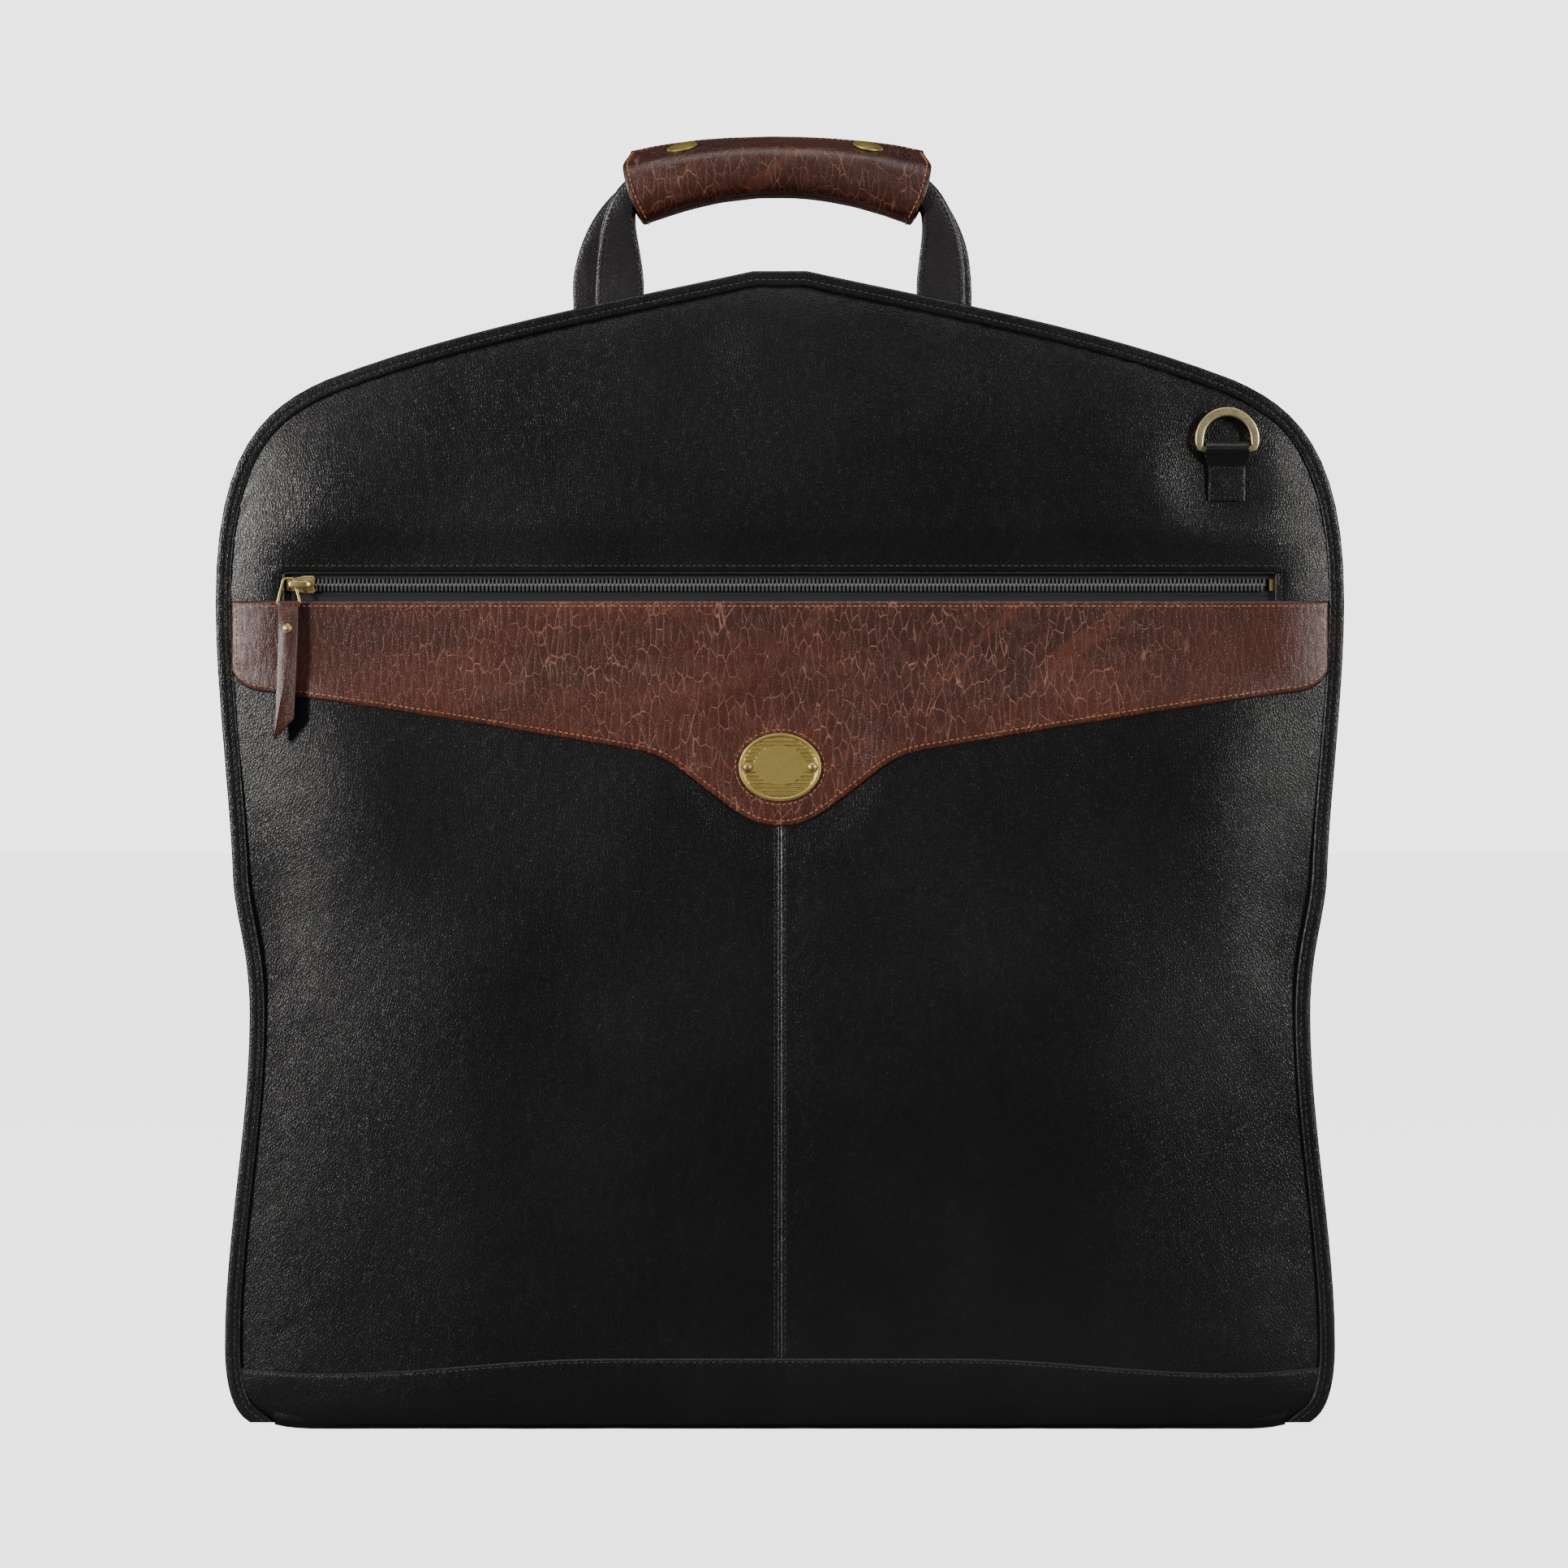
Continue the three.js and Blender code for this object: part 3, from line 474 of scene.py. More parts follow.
def section(half_wide, half_thick, square=0.4, steps=16):
    """A closed rounded outline: square is 1 for an ellipse, and near 0 for a rectangle."""
    out = []
    for i in range(steps):
        a = math.tau * (i + 0.5) / steps
        out.append([half * math.copysign(abs(v) ** square, v)
                    for half, v in ((half_wide, math.cos(a)), (half_thick, math.sin(a)))])
    return out


def strip(path, wide_axis, half_wide, half_thick, square=0.4, steps=16, closed=False):
    """A strap or wire along a path. The sizes and the axis of its width may be lists, one for each point."""
    path = [Vector(p) for p in path]
    n = len(path)
    rings = []
    for i, p in enumerate(path):
        if closed:
            run = path[(i + 1) % n] - path[i - 1]
        else:
            run = path[min(i + 1, n - 1)] - path[max(i - 1, 0)]
        run.normalize()
        wide = Vector(wide_axis[i] if isinstance(wide_axis, list) else wide_axis)
        wide = (wide - run * wide.dot(run)).normalized()
        thick = run.cross(wide)
        half_w, half_t = (h[i] if isinstance(h, list) else h for h in (half_wide, half_thick))
        rings.append([p + wide * u + thick * v for u, v in section(half_w, half_t, square, steps)])
    return tube(rings, closed)


def offset(path, distance):
    """An open 2-D path moved to its right-hand side."""
    out = []
    for i, p in enumerate(path):
        run = (path[min(i + 1, len(path) - 1)] - path[max(i - 1, 0)]).normalized()
        out.append(p + Vector((run.y, -run.x)) * distance)
    return out


def plate(loop, near, far, bevel):
    """A plate drawn in the x-z plane between two depths, with softened edges."""
    loop = [Vector(p) for p in loop]
    n = len(loop)
    area = sum(a.x * b.y - b.x * a.y for a, b in zip(loop, loop[1:] + loop[:1]))
    turn = math.copysign(1, area)
    step = math.copysign(bevel, far - near)
    rings = []
    for depth, inwards in ((near, bevel), (near + step, 0), (far - step, 0), (far, bevel)):
        ring = []
        for i, p in enumerate(loop):
            run = (loop[(i + 1) % n] - loop[i - 1]).normalized()
            q = p + Vector((-run.y, run.x)) * turn * inwards
            ring.append((q.x, depth, q.y))
        rings.append(ring)
    return tube(rings)


def rounded(corners, radius, steps=4):
    """A closed 2-D loop with its corners rounded."""
    corners = [Vector(c) for c in corners]
    out = []
    for i, c in enumerate(corners):
        ways = [(corners[i - 1] - c), (corners[(i + 1) % len(corners)] - c)]
        ends = [c + way.normalized() * min(radius, way.length / 2.1) for way in ways]
        out += bezier((ends[0], c, ends[1]), steps) + [ends[1]]
    return out


def smooth(x, low=0.0, high=1.0):
    t = min(max((x - low) / (high - low), 0), 1)
    return t * t * (3 - 2 * t)


def lerp(a, b, t):
    return a + (b - a) * t


def waver(x, y, z):
    """Smooth noise, from about -1 to 1."""
    return noise.noise(Vector((x, y, z)))


def even(low, high, steps):
    """Numbers in even steps, with both ends."""
    return [lerp(low, high, i / steps) for i in range(steps + 1)]


def arc(x, z, radius, start, end, steps):
    """Points round a circle."""
    return [(x + radius * math.cos(a), z + radius * math.sin(a)) for a in even(start, end, steps)]


def bezier(points, steps):
    """Points along a quadratic or cubic curve, its end left out."""
    out = []
    for i in range(steps):
        level = [Vector(p) for p in points]
        while len(level) > 1:
            level = [a.lerp(b, i / steps) for a, b in zip(level, level[1:])]
        out.append(level[0])
    return out


def spline(points, steps, closed=False):
    """A smooth curve through points of any dimension."""
    pts = [Vector(p) for p in points]
    n = len(pts)
    out = []
    for i in range(n if closed else n - 1):
        near = range(i - 1, i + 3)
        p0, p1, p2, p3 = (pts[k % n] if closed else pts[min(max(k, 0), n - 1)] for k in near)
        for j in range(steps):
            t = j / steps
            a = p1 * 2 + (p2 - p0) * t
            b = (p0 * 2 - p1 * 5 + p2 * 4 - p3) * t * t
            c = (p1 * 3 - p0 - p2 * 3 + p3) * t ** 3
            out.append((a + b + c) / 2)
    return out if closed else [*out, pts[-1]]


def along(path, pitch, start=0.0):
    """(point, direction) at even steps of about pitch along a path."""
    path = [Vector(p) for p in path]
    total = sum((b - a).length for a, b in zip(path, path[1:]))
    count = max(1, round((total - 2 * start) / pitch))
    step = (total - 2 * start) / count
    out, walked, k = [], 0.0, 0
    for i in range(count):
        goal = start + (i + 0.5) * step
        while k < len(path) - 2 and walked + (path[k + 1] - path[k]).length < goal:
            walked += (path[k + 1] - path[k]).length
            k += 1
        run = path[k + 1] - path[k]
        out.append((path[k] + run.normalized() * (goal - walked), run.normalized()))
    return out


def stitches(paths, outward, pitch=3.4, length=2.5, width=0.7, height=0.55):
    """Sewing along paths on a surface. Its outward direction is one for all points, or a function of them."""
    shapes = []
    stations = ((-0.5, 0.25, -0.35), (-0.3, 0.9, 0.7), (0.3, 0.9, 0.7), (0.5, 0.25, -0.35))
    for path in paths:
        for at, run in along(path, pitch):
            up = Vector(outward(at) if callable(outward) else outward).normalized()
            sideways = run.cross(up).normalized()
            rings = []
            for share, wide, high in stations:
                middle = at + run * length * share
                rings.append([middle + sideways * width * wide * u + up * height * (high if v else -0.6)
                              for u, v in ((-0.5, 0), (-0.3, 1), (0.3, 1), (0.5, 0))])
            shapes.append(tube(rings))
    return merge(*shapes)


def sew(name, paths, outward, body, paint=BLACK_THREAD, bend=None, **sizes):
    piece(name, stitches(paths, outward, **sizes), paint, body, bend=bend)


# ---- the outline and the skins
OUTLINE_CURVES = (
    ((14, BODY_TOP), (84, 586), (165, 572.1), (235, 545)),
    ((235, 545), (267, 531), (292.6, 509), (292.4, 430)),
    ((292.4, 430), (292.4, 385), (284.5, 325), (283.5, 288)),
    ((283.5, 288), (282.3, 265), (274.6, 250), (274.8, 215)),
    ((274.8, 215), (274.8, 160), (287.6, 100), (287.6, 45)),
    ((287.6, 45), (287.6, 28), (285, 12), (276, BODY_LOW + 1)),
)


def outline(inset=0.0, steps=16):
    """The right half of the outline as (x, z), moved inwards, from the middle of the top to the bottom."""
    line = [p for curve in OUTLINE_CURVES for p in bezier(curve, steps)]
    line.append(Vector(OUTLINE_CURVES[-1][-1]))
    moved_in = [Vector((0, BODY_TOP - inset)), *offset(line, inset)]
    last, before = moved_in[-1], moved_in[-2]
    run = last - before
    moved_in.append(last + run * ((BODY_LOW - last.y) / run.y))
    return moved_in


RIM = outline(0)
RIM_TREE = kdtree.KDTree(2 * len(RIM))
for number, rim_point in enumerate(RIM):
    for turn in SIDES.values():
        RIM_TREE.insert((turn * rim_point.x, 0, rim_point.y), 2 * number + (turn > 0))
RIM_TREE.balance()


def across(line, z):
    """Half width of a half outline at a height, on its sides."""
    for a, b in zip(line, line[1:]):
        if b.y <= z <= a.y:
            return lerp(a.x, b.x, (a.y - z) / max(a.y - b.y, 1e-6))
    return line[-1].x


def above(line, x):
    """Height of a half outline's top at a distance from the middle."""
    for a, b in zip(line, line[1:]):
        if a.x <= abs(x) <= b.x:
            return lerp(a.y, b.y, (abs(x) - a.x) / max(b.x - a.x, 1e-6))
    return line[-1].y


def hill(x, z, at, size, height):
    d = math.hypot((x - at[0]) / size[0], (z - at[1]) / size[1])
    return height * (0.5 + 0.5 * math.cos(math.pi * min(d, 1)))


# Where the leather stands out or sinks, on both sides: middle, half size across and up, and height.
HILLS = (
    ((150, 205), (150, 175), 2.2),
    ((218, 330), (62, 82), 2.6),
    ((262, 262), (34, 66), -1.5),
    ((215, 470), (70, 60), 1.2),
)


def bell(x, width):
    return math.exp(-((x / width) ** 2))


def swell(x, z, side):
    """How far a half's leather stands out from its CAD plane: sunk at the rim, swollen in the open parts."""
    rim = RIM_TREE.find((x, 0, z))[2]
    reach = lerp(2 * PUFF_REACH, PUFF_REACH, smooth(z, 230, 370))
    depth = PUFF - (PUFF + RIM_SINK) * (1 - min(rim / reach, 1)) ** 2
    for turn in SIDES.values():
        for (hill_x, hill_z), size, height in HILLS:
            depth += hill(x, z, (turn * hill_x, hill_z), size, height)
    ripple = smooth(rim, 2, 30) * smooth(560 - abs(z - 560), 440, 560) * (z > 430)
    depth += 0.55 * ripple * math.sin(x / 23 + 2.4 * waver(x / 90, z / 160, side))
    depth += 0.6 * waver(x / 75, z / 110, side * 3.7)
    crease = waver(x / 26 + z / 60, z / 15 - x / 50, side * 9.1)
    depth += 0.42 * crease * (1 - smooth(rim, 10, 95)) * smooth(rim, 2, 16)
    tab_x = -side * TAB_X
    depth *= 1 - 0.9 * smooth(42 - math.hypot(x - tab_x, z - 498), 0, 32)
    if side == FRONT_SIDE:
        level = max(smooth(48 - abs(z - 424), 0, 26), smooth(62 - math.hypot(x, z - 350), 0, 30))
        depth *= 1 - 0.9 * level * smooth(rim, 10, 55)
        below_yoke = smooth(YOKE_LOW[2] + 12 - z, 0, 16)
        ridges, groove, dip = bell(abs(x) - 2.0, 1.2), bell(x, 0.6), bell(x, 12)
        depth += below_yoke * (0.12 * ridges - 0.12 * groove)
        depth -= 0.8 * dip * below_yoke
    return depth


def on_skin(x, z, side, lift=0.0):
    return Vector((x, side * (SKIN + swell(x, z, side) + lift), z))


def lines(low, high, step, *keep):
    """Grid lines from low to high, closer together at each end and round the values to keep."""
    count = max(2, round((high - low) / step))
    spaced = even(low, high, count)
    extra = [low + d for d in CLOSE] + [high - d for d in CLOSE]
    for k in keep:
        extra += [k, *(k - d for d in CLOSE), *(k + d for d in CLOSE)]
    spaced = [v for v in spaced if all(abs(v - e) > 1.0 for e in extra) or v in (low, high)]
    return sorted(set(spaced + extra))


def band_seam(x):
    """Height of the bottom band's top edge."""
    side = smooth(abs(x), 90, 235)
    return 39 - 8 * side + 2.4 * smooth(abs(x), 240, 280)


def upper_panel(half, side):
    """The panel that reaches the top, cut away at the pocket's window on the front."""
    window = side == FRONT_SIDE
    top, shoulder, steps_above = outline(3), 460, 27
    xs = lines(-288.5, 288.5, 5.2, *((-WINDOW_X, WINDOW_X) if window else ()))
    zs = lines(UPPER_FROM[half], shoulder, 5.5, *((WINDOW_TOP,) if window else ()))
    rows = [[(x, z) for x in xs] for z in zs]
    for i in range(1, steps_above + 1):
        rows.append([(x, lerp(shoulder, above(top, x), i / steps_above)) for x in xs])

    def cut_away(x, z):
        return window and abs(x) < WINDOW_X - 0.01 and z < WINDOW_TOP - 0.01

    grid = [[None if cut_away(x, z) else on_skin(x, z, side) for x, z in row] for row in rows]
    piece(f"{half}_upper_skin", slab(grid, (0, -side * 1.8, 0)), BLACK, f"{half}_half",
          replaces=(f"{half}_upper_panel",))


def lower_rows(half, side, low_x, tuck=0.0):
    """Rows of points from under the bottom band up to the seam. Their top edge tucks in."""
    rim, wide, high = outline(3), 280, LOWER_TO[half]
    rows = []
    for z in lines(27, high, 5.5):
        sunk = tuck * smooth(z, high - 9, high - 3)
        rows.append([on_skin(u / wide * across(rim, z), z, side, -sunk) for u in lines(low_x, wide, 5.2)])
    return rows


def lower_skins():
    """The front's two lower panels meet at a seam in the middle. The rear has one."""
    rows = lower_rows("front", FRONT_SIDE, 0.04)
    for name, turn in SIDES.items():
        grid = [[on_skin(turn * p.x, p.z, FRONT_SIDE) for p in row] for row in rows]
        piece(f"front_lower_skin_{name}", slab(grid, (0, 1.8, 0), rounding=(0.3, 0.06)), BLACK, "front_half",
              replaces=(f"front_lower_panel_{name}",))
    rear = slab(lower_rows("rear", REAR_SIDE, -280, tuck=2.2), (0, -1.8, 0))
    piece("rear_lower_skin", rear, BLACK, "rear_half", replaces=("rear_lower_panel",))


def seam_stitches():
    """Topstitching on the skins: beside the front's centre seam, round the pocket, and over the rear seam."""
    lift = 0.02
    steps = even(band_seam(0) + 2, YOKE_LOW[2] + 6, 60)
    seams = [[on_skin(turn * 2.8, z, FRONT_SIDE, lift) for z in steps] for turn in SIDES.values()]
    sew("centre_seam_stitches", seams, (0, -1, 0), "front_half")
    edge, top = WINDOW_X + 3, WINDOW_TOP + 4
    round_pocket = [[on_skin(x, top, FRONT_SIDE, lift) for x in even(-edge, edge, 100)]]
    heights = even(YOKE_HIGH[2] - 4, top, 6)
    round_pocket += [[on_skin(turn * edge, z, FRONT_SIDE, lift) for z in heights] for turn in SIDES.values()]
    sew("pocket_stitches", round_pocket, (0, -1, 0), "front_half")
    across_back = [on_skin(x, REAR_SEAM, REAR_SIDE, lift) for x in even(-278, 278, 110)]
    sew("rear_seam_stitches", [across_back], (0, 1, 0), "rear_half")


def bottom_band(half, side):
    """The band along the fold, over the lower panels' edges."""
    rim, wide = outline(2), 281
    grid = []
    for t in [0, 0.015, 0.045, *(i / 8 for i in range(1, 8)), 0.955, 0.985, 1]:
        row = []
        for u in lines(-wide, wide, 6):
            z = lerp(BODY_LOW - 0.6, band_seam(u), t)
            x = u / wide * (across(rim, max(z, BODY_LOW + 0.01)))
            tuck = 1.4 * (1 - smooth(z, BODY_LOW, BODY_LOW + 9))
            row.append(on_skin(x, z, side, 1.1 * smooth(z, 8, 30) + 0.4 - tuck))
        grid.append(row)
    piece(f"{half}_band", slab(grid, (0, -side * 1.5, 0)), BLACK, f"{half}_half",
          replaces=(f"{half}_bottom_band",))
    path = [on_skin(x, band_seam(x) - 1.9, side, 1.5) for x in range(-270, 271, 10)]
    sew(f"{half}_band_stitches", [path], (0, side, 0), f"{half}_half")


def binding(half, part, depth, side):
    """The folded strip that binds an edge, with its stitches, from one bottom corner round to the other."""
    wide = BINDING_WIDTH
    seam = wide * 0.6
    # Points (inwards from the rim, outwards from the depth): the outer turn, the face with the dent of its
    # seam, the inner turn, and the back.
    profile = [(0, -1.6), (0.05, -0.7), (0.5, -0.1), (1.4, 0.15), (3.0, 0.2)]
    profile += [(seam - 0.5, 0.2), (seam, 0.1), (seam + 0.5, 0.2)]
    profile += [(6.6, 0.2), (7.5, 0.05), (wide - 0.05, -0.45), (wide, -1.2), (wide - 0.2, -3.2), (0.8, -3.6)]
    insets = [outline(i, 12) for i, _ in profile]
    rings = []
    count = len(insets[0])
    for k in range(-count + 1, count):
        turn = 1 if k >= 0 else -1
        ring = []
        for line, (_, out) in zip(insets, profile):
            p = line[abs(k)]
            wave = 0.25 * waver(turn * p.x / 30, p.y / 30, side * depth / 9)
            ring.append(Vector((turn * p.x, side * (depth + out + wave), p.y)))
        rings.append(ring)
    piece(f"{half}_{part}_edge", tube(rings), BLACK, f"{half}_half", replaces=(f"{half}_{part}_binding",))
    path = [Vector((p.x, side * (depth + 0.18), p.y)) for p in outline(seam, 12)]
    paths = [[Vector((turn * p.x, p.y, p.z)) for p in path] for turn in SIDES.values()]
    sew(f"{half}_{part}_edge_stitches", paths, (0, side, 0), f"{half}_half", height=0.5)


def side_wall(half, side, name, turn):
    """A wall of soft leather between the two bound edges, which folds inwards."""
    base = outline(0, 10)[1:]
    rings = []
    for k, p in enumerate(base):
        run = (base[min(k + 1, len(base) - 1)] - base[max(k - 1, 0)]).normalized()
        inwards = Vector((run.y, -run.x))
        ring = []
        for thick, order in ((0, range(13)), (1.6, range(12, -1, -1))):
            for j in order:
                v = j / 12
                bow = math.sin(math.pi * v)
                depth = 6.2 + thick + 4.4 * bow ** 1.4
                depth += 0.9 * bow * waver(p.x / 30, j / 4, p.y / 24 + turn * 5)
                q = p + inwards * depth
                ring.append(Vector((turn * max(q.x, 0.3), side * lerp(INNER + 3.0, SKIN - RIM_SINK, v), q.y)))
        rings.append(ring)
    piece(f"{half}_side_wall_{name}", tube(rings), BLACK, f"{half}_half", replaces=(f"{half}_gusset_{name}",))


def inner_lining(half, side, name, turn):
    """A lining panel on the inner face, beside the main zip."""
    rim = outline(5)
    edge = MAIN_ZIP_X + 0.6
    heights = [BODY_LOW + 2 + i * 502 / 42 for i in range(43)]
    plan = [[(lerp(edge, across(rim, z), u), z) for u in even(0, 1, 34)] for z in heights]
    top_row = plan[-1]
    for i in range(1, 12):
        plan.append([(x, lerp(z, above(rim, x), i / 11)) for x, z in top_row])
    grid = []
    for row in plan:
        sag = [0.9 * waver(x / 60, z / 70, side + turn * 4) for x, z in row]
        grid.append([Vector((turn * x, side * (INNER + 1.4 + s), z)) for s, (x, z) in zip(sag, row)])
    made = piece(f"{half}_lining_{name}", slab(grid, (0, side * 1.2, 0)), LINING, f"{half}_half",
                 replaces=(f"{half}_inner_panel_{name}",))


# ---- the yoke and its badge
YOKE_END, YOKE_TOP, YOKE_TIP = YOKE_HIGH[0], YOKE_HIGH[2], YOKE_LOW[2]
YOKE_CURVES = (
    ((YOKE_END, 396), (282, 385), (268, 383.2)),
    ((268, 383.2), (200, 374.5), (73, 352.8)),
    ((73, 352.8), (56, 349.6), (50, 341), (33, 329)),
    ((33, 329), (22, 320.5), (14, YOKE_TIP), (0, YOKE_TIP)),
)
YOKE_LIFT = 1.75


def yoke():
    lower_edge = [p for curve in YOKE_CURVES for p in bezier(curve, 12)] + [Vector((0, YOKE_TIP))]

    def lowest(x):
        for a, b in zip(lower_edge, lower_edge[1:]):
            if b.x <= abs(x) <= a.x:
                return lerp(b.y, a.y, (abs(x) - b.x) / max(a.x - b.x, 1e-6))
        return lower_edge[0].y

    columns = []
    for x in lines(-YOKE_END, YOKE_END, 4.4):
        low = lowest(x)
        near, far = CLOSE
        heights = [low, low + near, *even(low + far, YOKE_TOP - far, 20), YOKE_TOP - near, YOKE_TOP]
        columns.append([on_skin(x, z, FRONT_SIDE, YOKE_LIFT) for z in heights])
    piece("yoke", slab(columns, (0, 1.4, 0)), BROWN, "front_half", replaces=("yoke_trim",))
    half = [Vector((x, YOKE_TOP)) for x in even(0, YOKE_END, 60)]
    half += [Vector((YOKE_END, lerp(YOKE_TOP, 396, i / 10))) for i in range(1, 10)] + lower_edge
    seam = offset(half, 2.8)
    paths = [[on_skin(turn * p.x, p.y, FRONT_SIDE, YOKE_LIFT) for p in seam] for turn in SIDES.values()]
    sew("yoke_stitches", paths, (0, -1, 0), "front_half", TAN_THREAD, pitch=3.1, length=2.3, width=0.75)


def badge_relief(x, z, rx, rz):
    """Height of the badge's face: a raised rim, a reeded ground, and a smooth oval in the middle."""
    reed_pitch, rim_width = 2.0, 1.8
    from_edge = (1 - math.hypot(x / rx, z / rz)) * rz
    past_blank = smooth(math.hypot(x / 13.4, (z - 1) / 10.6), 0.96, 1.01)
    in_blank = 1 - past_blank * smooth(abs(z), 2.4, 2.9)
    from_groove = abs((z / reed_pitch) % 1 - 0.5) * reed_pitch
    reeds = 0.35 - 0.85 * (1 - smooth(from_groove, 0.3, 0.55))
    rim = 0.62 * math.sin(math.pi * min(max(from_edge / rim_width, 0.12), 1)) ** 0.6
    return rim if from_edge < 1.75 else lerp(reeds, 0.35, in_blank) * smooth(from_edge, 1.9, 2.3)


def badge():
    """A plain oval plate, sewn round and riveted to the yoke."""
    low, high = mm_box("badge_plate")
    rx, rz, middle = high[0], (high[2] - low[2]) / 2, (high[2] + low[2]) / 2
    grid = []
    for v in even(-0.998, 0.998, 200):
        half_row = rx * math.sqrt(1 - v * v)
        row = [(u * half_row, v * rz) for u in even(-1, 1, 80)]
        grid.append([Vector((x, high[1] - 1.1 - badge_relief(x, z, rx, rz), middle + z)) for x, z in row])
    piece("badge", slab(grid, (0, 0.66, 0), rounding=(0,)), BADGE_BRASS, "front_half",
          replaces=("badge_plate",), sharp=30)
    wide, tall = rx + 1.9, rz + 1.9
    ring = [on_skin(wide * math.cos(a), middle + tall * math.sin(a), FRONT_SIDE, YOKE_LIFT)
            for a in even(0, math.tau, 60)]
    sew("badge_stitches", [ring], (0, -1, 0), "front_half", TAN_THREAD, pitch=3.0, length=2.2, width=0.7)
    profile = [(0, -0.4), (2.4, -0.4), (2.45, 0.3), (2.1, 0.95), (1.2, 1.4), (0, 1.55)]
    for name, turn in SIDES.items():
        at = (turn * (mm_box("badge_rivet_right")[0][0] + 2), high[1] - 1.45, middle)
        rivet = f"badge_rivet_{name}"
        dome(rivet.replace("rivet", "rivet_dome"), profile, at, FACING_FRONT, BRASS, "front_half", rivet)


# ---- zips
def teeth(start, end, up, out, pitch, reach, thick):
    """Two rows of interlocking zip teeth along a straight line."""
    start, end, up, out = (Vector(v) for v in (start, end, up, out))
    run = (end - start).normalized()
    stations = ((-0.14, 0.6, 1.3), (0.08, 1.0, 1.4), (0.4, 0.75, 0.85), (0.8, 1.0, 0.95), (1.0, 0.7, 0.5))
    outline_of_tooth = ((-1, -0.4), (-0.75, 0.7), (0, 1), (0.75, 0.7), (1, -0.4))
    shapes = []
    for i in range(int((end - start).length / pitch)):
        for row in (-1, 1):
            at = start + run * pitch * (i + 0.5 + 0.25 * row)
            rings = []
            for share, high, wide in stations:
                middle = at + up * row * reach * share
                rings.append([middle + run * thick * wide / 2 * u + out * thick * high * v
                              for u, v in outline_of_tooth])
            shapes.append(tube(rings))
    return merge(*shapes)


def pocket_zip():
    start, end = COIL["upper"][0][0], COIL["upper"][1][0]
    reach = COIL["upper"][1][2] - ZIP_Z
    depth = COIL["upper"][0][1] + 0.1
    coil = teeth((start, depth, ZIP_Z), (end, depth, ZIP_Z), (0, 0, 1), (0, -1, 0), 2.1, reach, 1.5)
    piece("pocket_zip_coil", coil, COIL_NYLON, "front_half",
          replaces=("pocket_zip_coil_upper", "pocket_zip_coil_lower"))
    for name, turn in (("upper", 1), ("lower", -1)):
        low, high = mm_box(f"pocket_zip_tape_{name}")
        seam = ZIP_Z + turn * 0.15
        far = high[2] if turn > 0 else low[2]
        grid = []
        xs = lines(low[0], high[0], 6)
        for z in even(seam, far, 12):
            grid.append([Vector((x, low[1] - 1.0 + 0.35 * waver(x / 40, z / 8, turn), z)) for x in xs])
        piece(f"pocket_tape_{name}", slab(grid, (0, 0.7, 0)), TAPE, "front_half",
              replaces=(f"pocket_zip_tape_{name}",))
        for row, z in enumerate((ZIP_Z + turn * 4.9, ZIP_Z + turn * 5.7)):
            rib = [(x, low[1] - 1.15, z) for x in even(start, end, 60)]
            piece(f"pocket_tape_rib_{name}_{row}", strip(rib, (0, 0, 1), 0.22, 0.22, 1, 8), TAPE,
                  "front_half")
    lip()


def lip():
    """The turned edge of leather round the pocket's opening."""
    x, top, low = WINDOW_X, WINDOW_TOP, YOKE_TOP - 7
    corner = 1.2
    line = [(-x, z) for z in even(low, top - corner, 5)]
    line += [(-x + corner * 0.3, top - corner * 0.3)]
    line += [(u, top) for u in even(-x + corner, x - corner, 100)]
    line += [(x - corner * 0.3, top - corner * 0.3)]
    line += [(x, z) for z in even(top - corner, low, 5)]
    path = [on_skin(u, z, FRONT_SIDE, -0.75) for u, z in line]
    rings = strip(path, (0, 1, 0), 1.15, 0.75, 0.8, 12)
    piece("pocket_lip", rings, BLACK, "front_half", replaces=("pocket_zip_welt",))


def main_zip(half, side):
    low, high = mm_box(f"{half}_main_zip_chain")
    face = high[1] if side < 0 else low[1]
    start, end = ((0, face + side * 1.0, z) for z in (low[2], high[2]))
    coil = teeth(start, end, (1, 0, 0), (0, -side, 0), pitch=2.4, reach=3.1, thick=1.5)
    backing = [(0, face + side * 1.75, z) for z in even(low[2], high[2], 40)]
    tape = strip(backing, (1, 0, 0), 3.9, 0.35, 0.3)
    piece(f"{half}_main_coil", coil, COIL_NYLON, f"{half}_half", replaces=(f"{half}_main_zip_chain",))
    piece(f"{half}_main_tape", tape, TAPE, f"{half}_half")


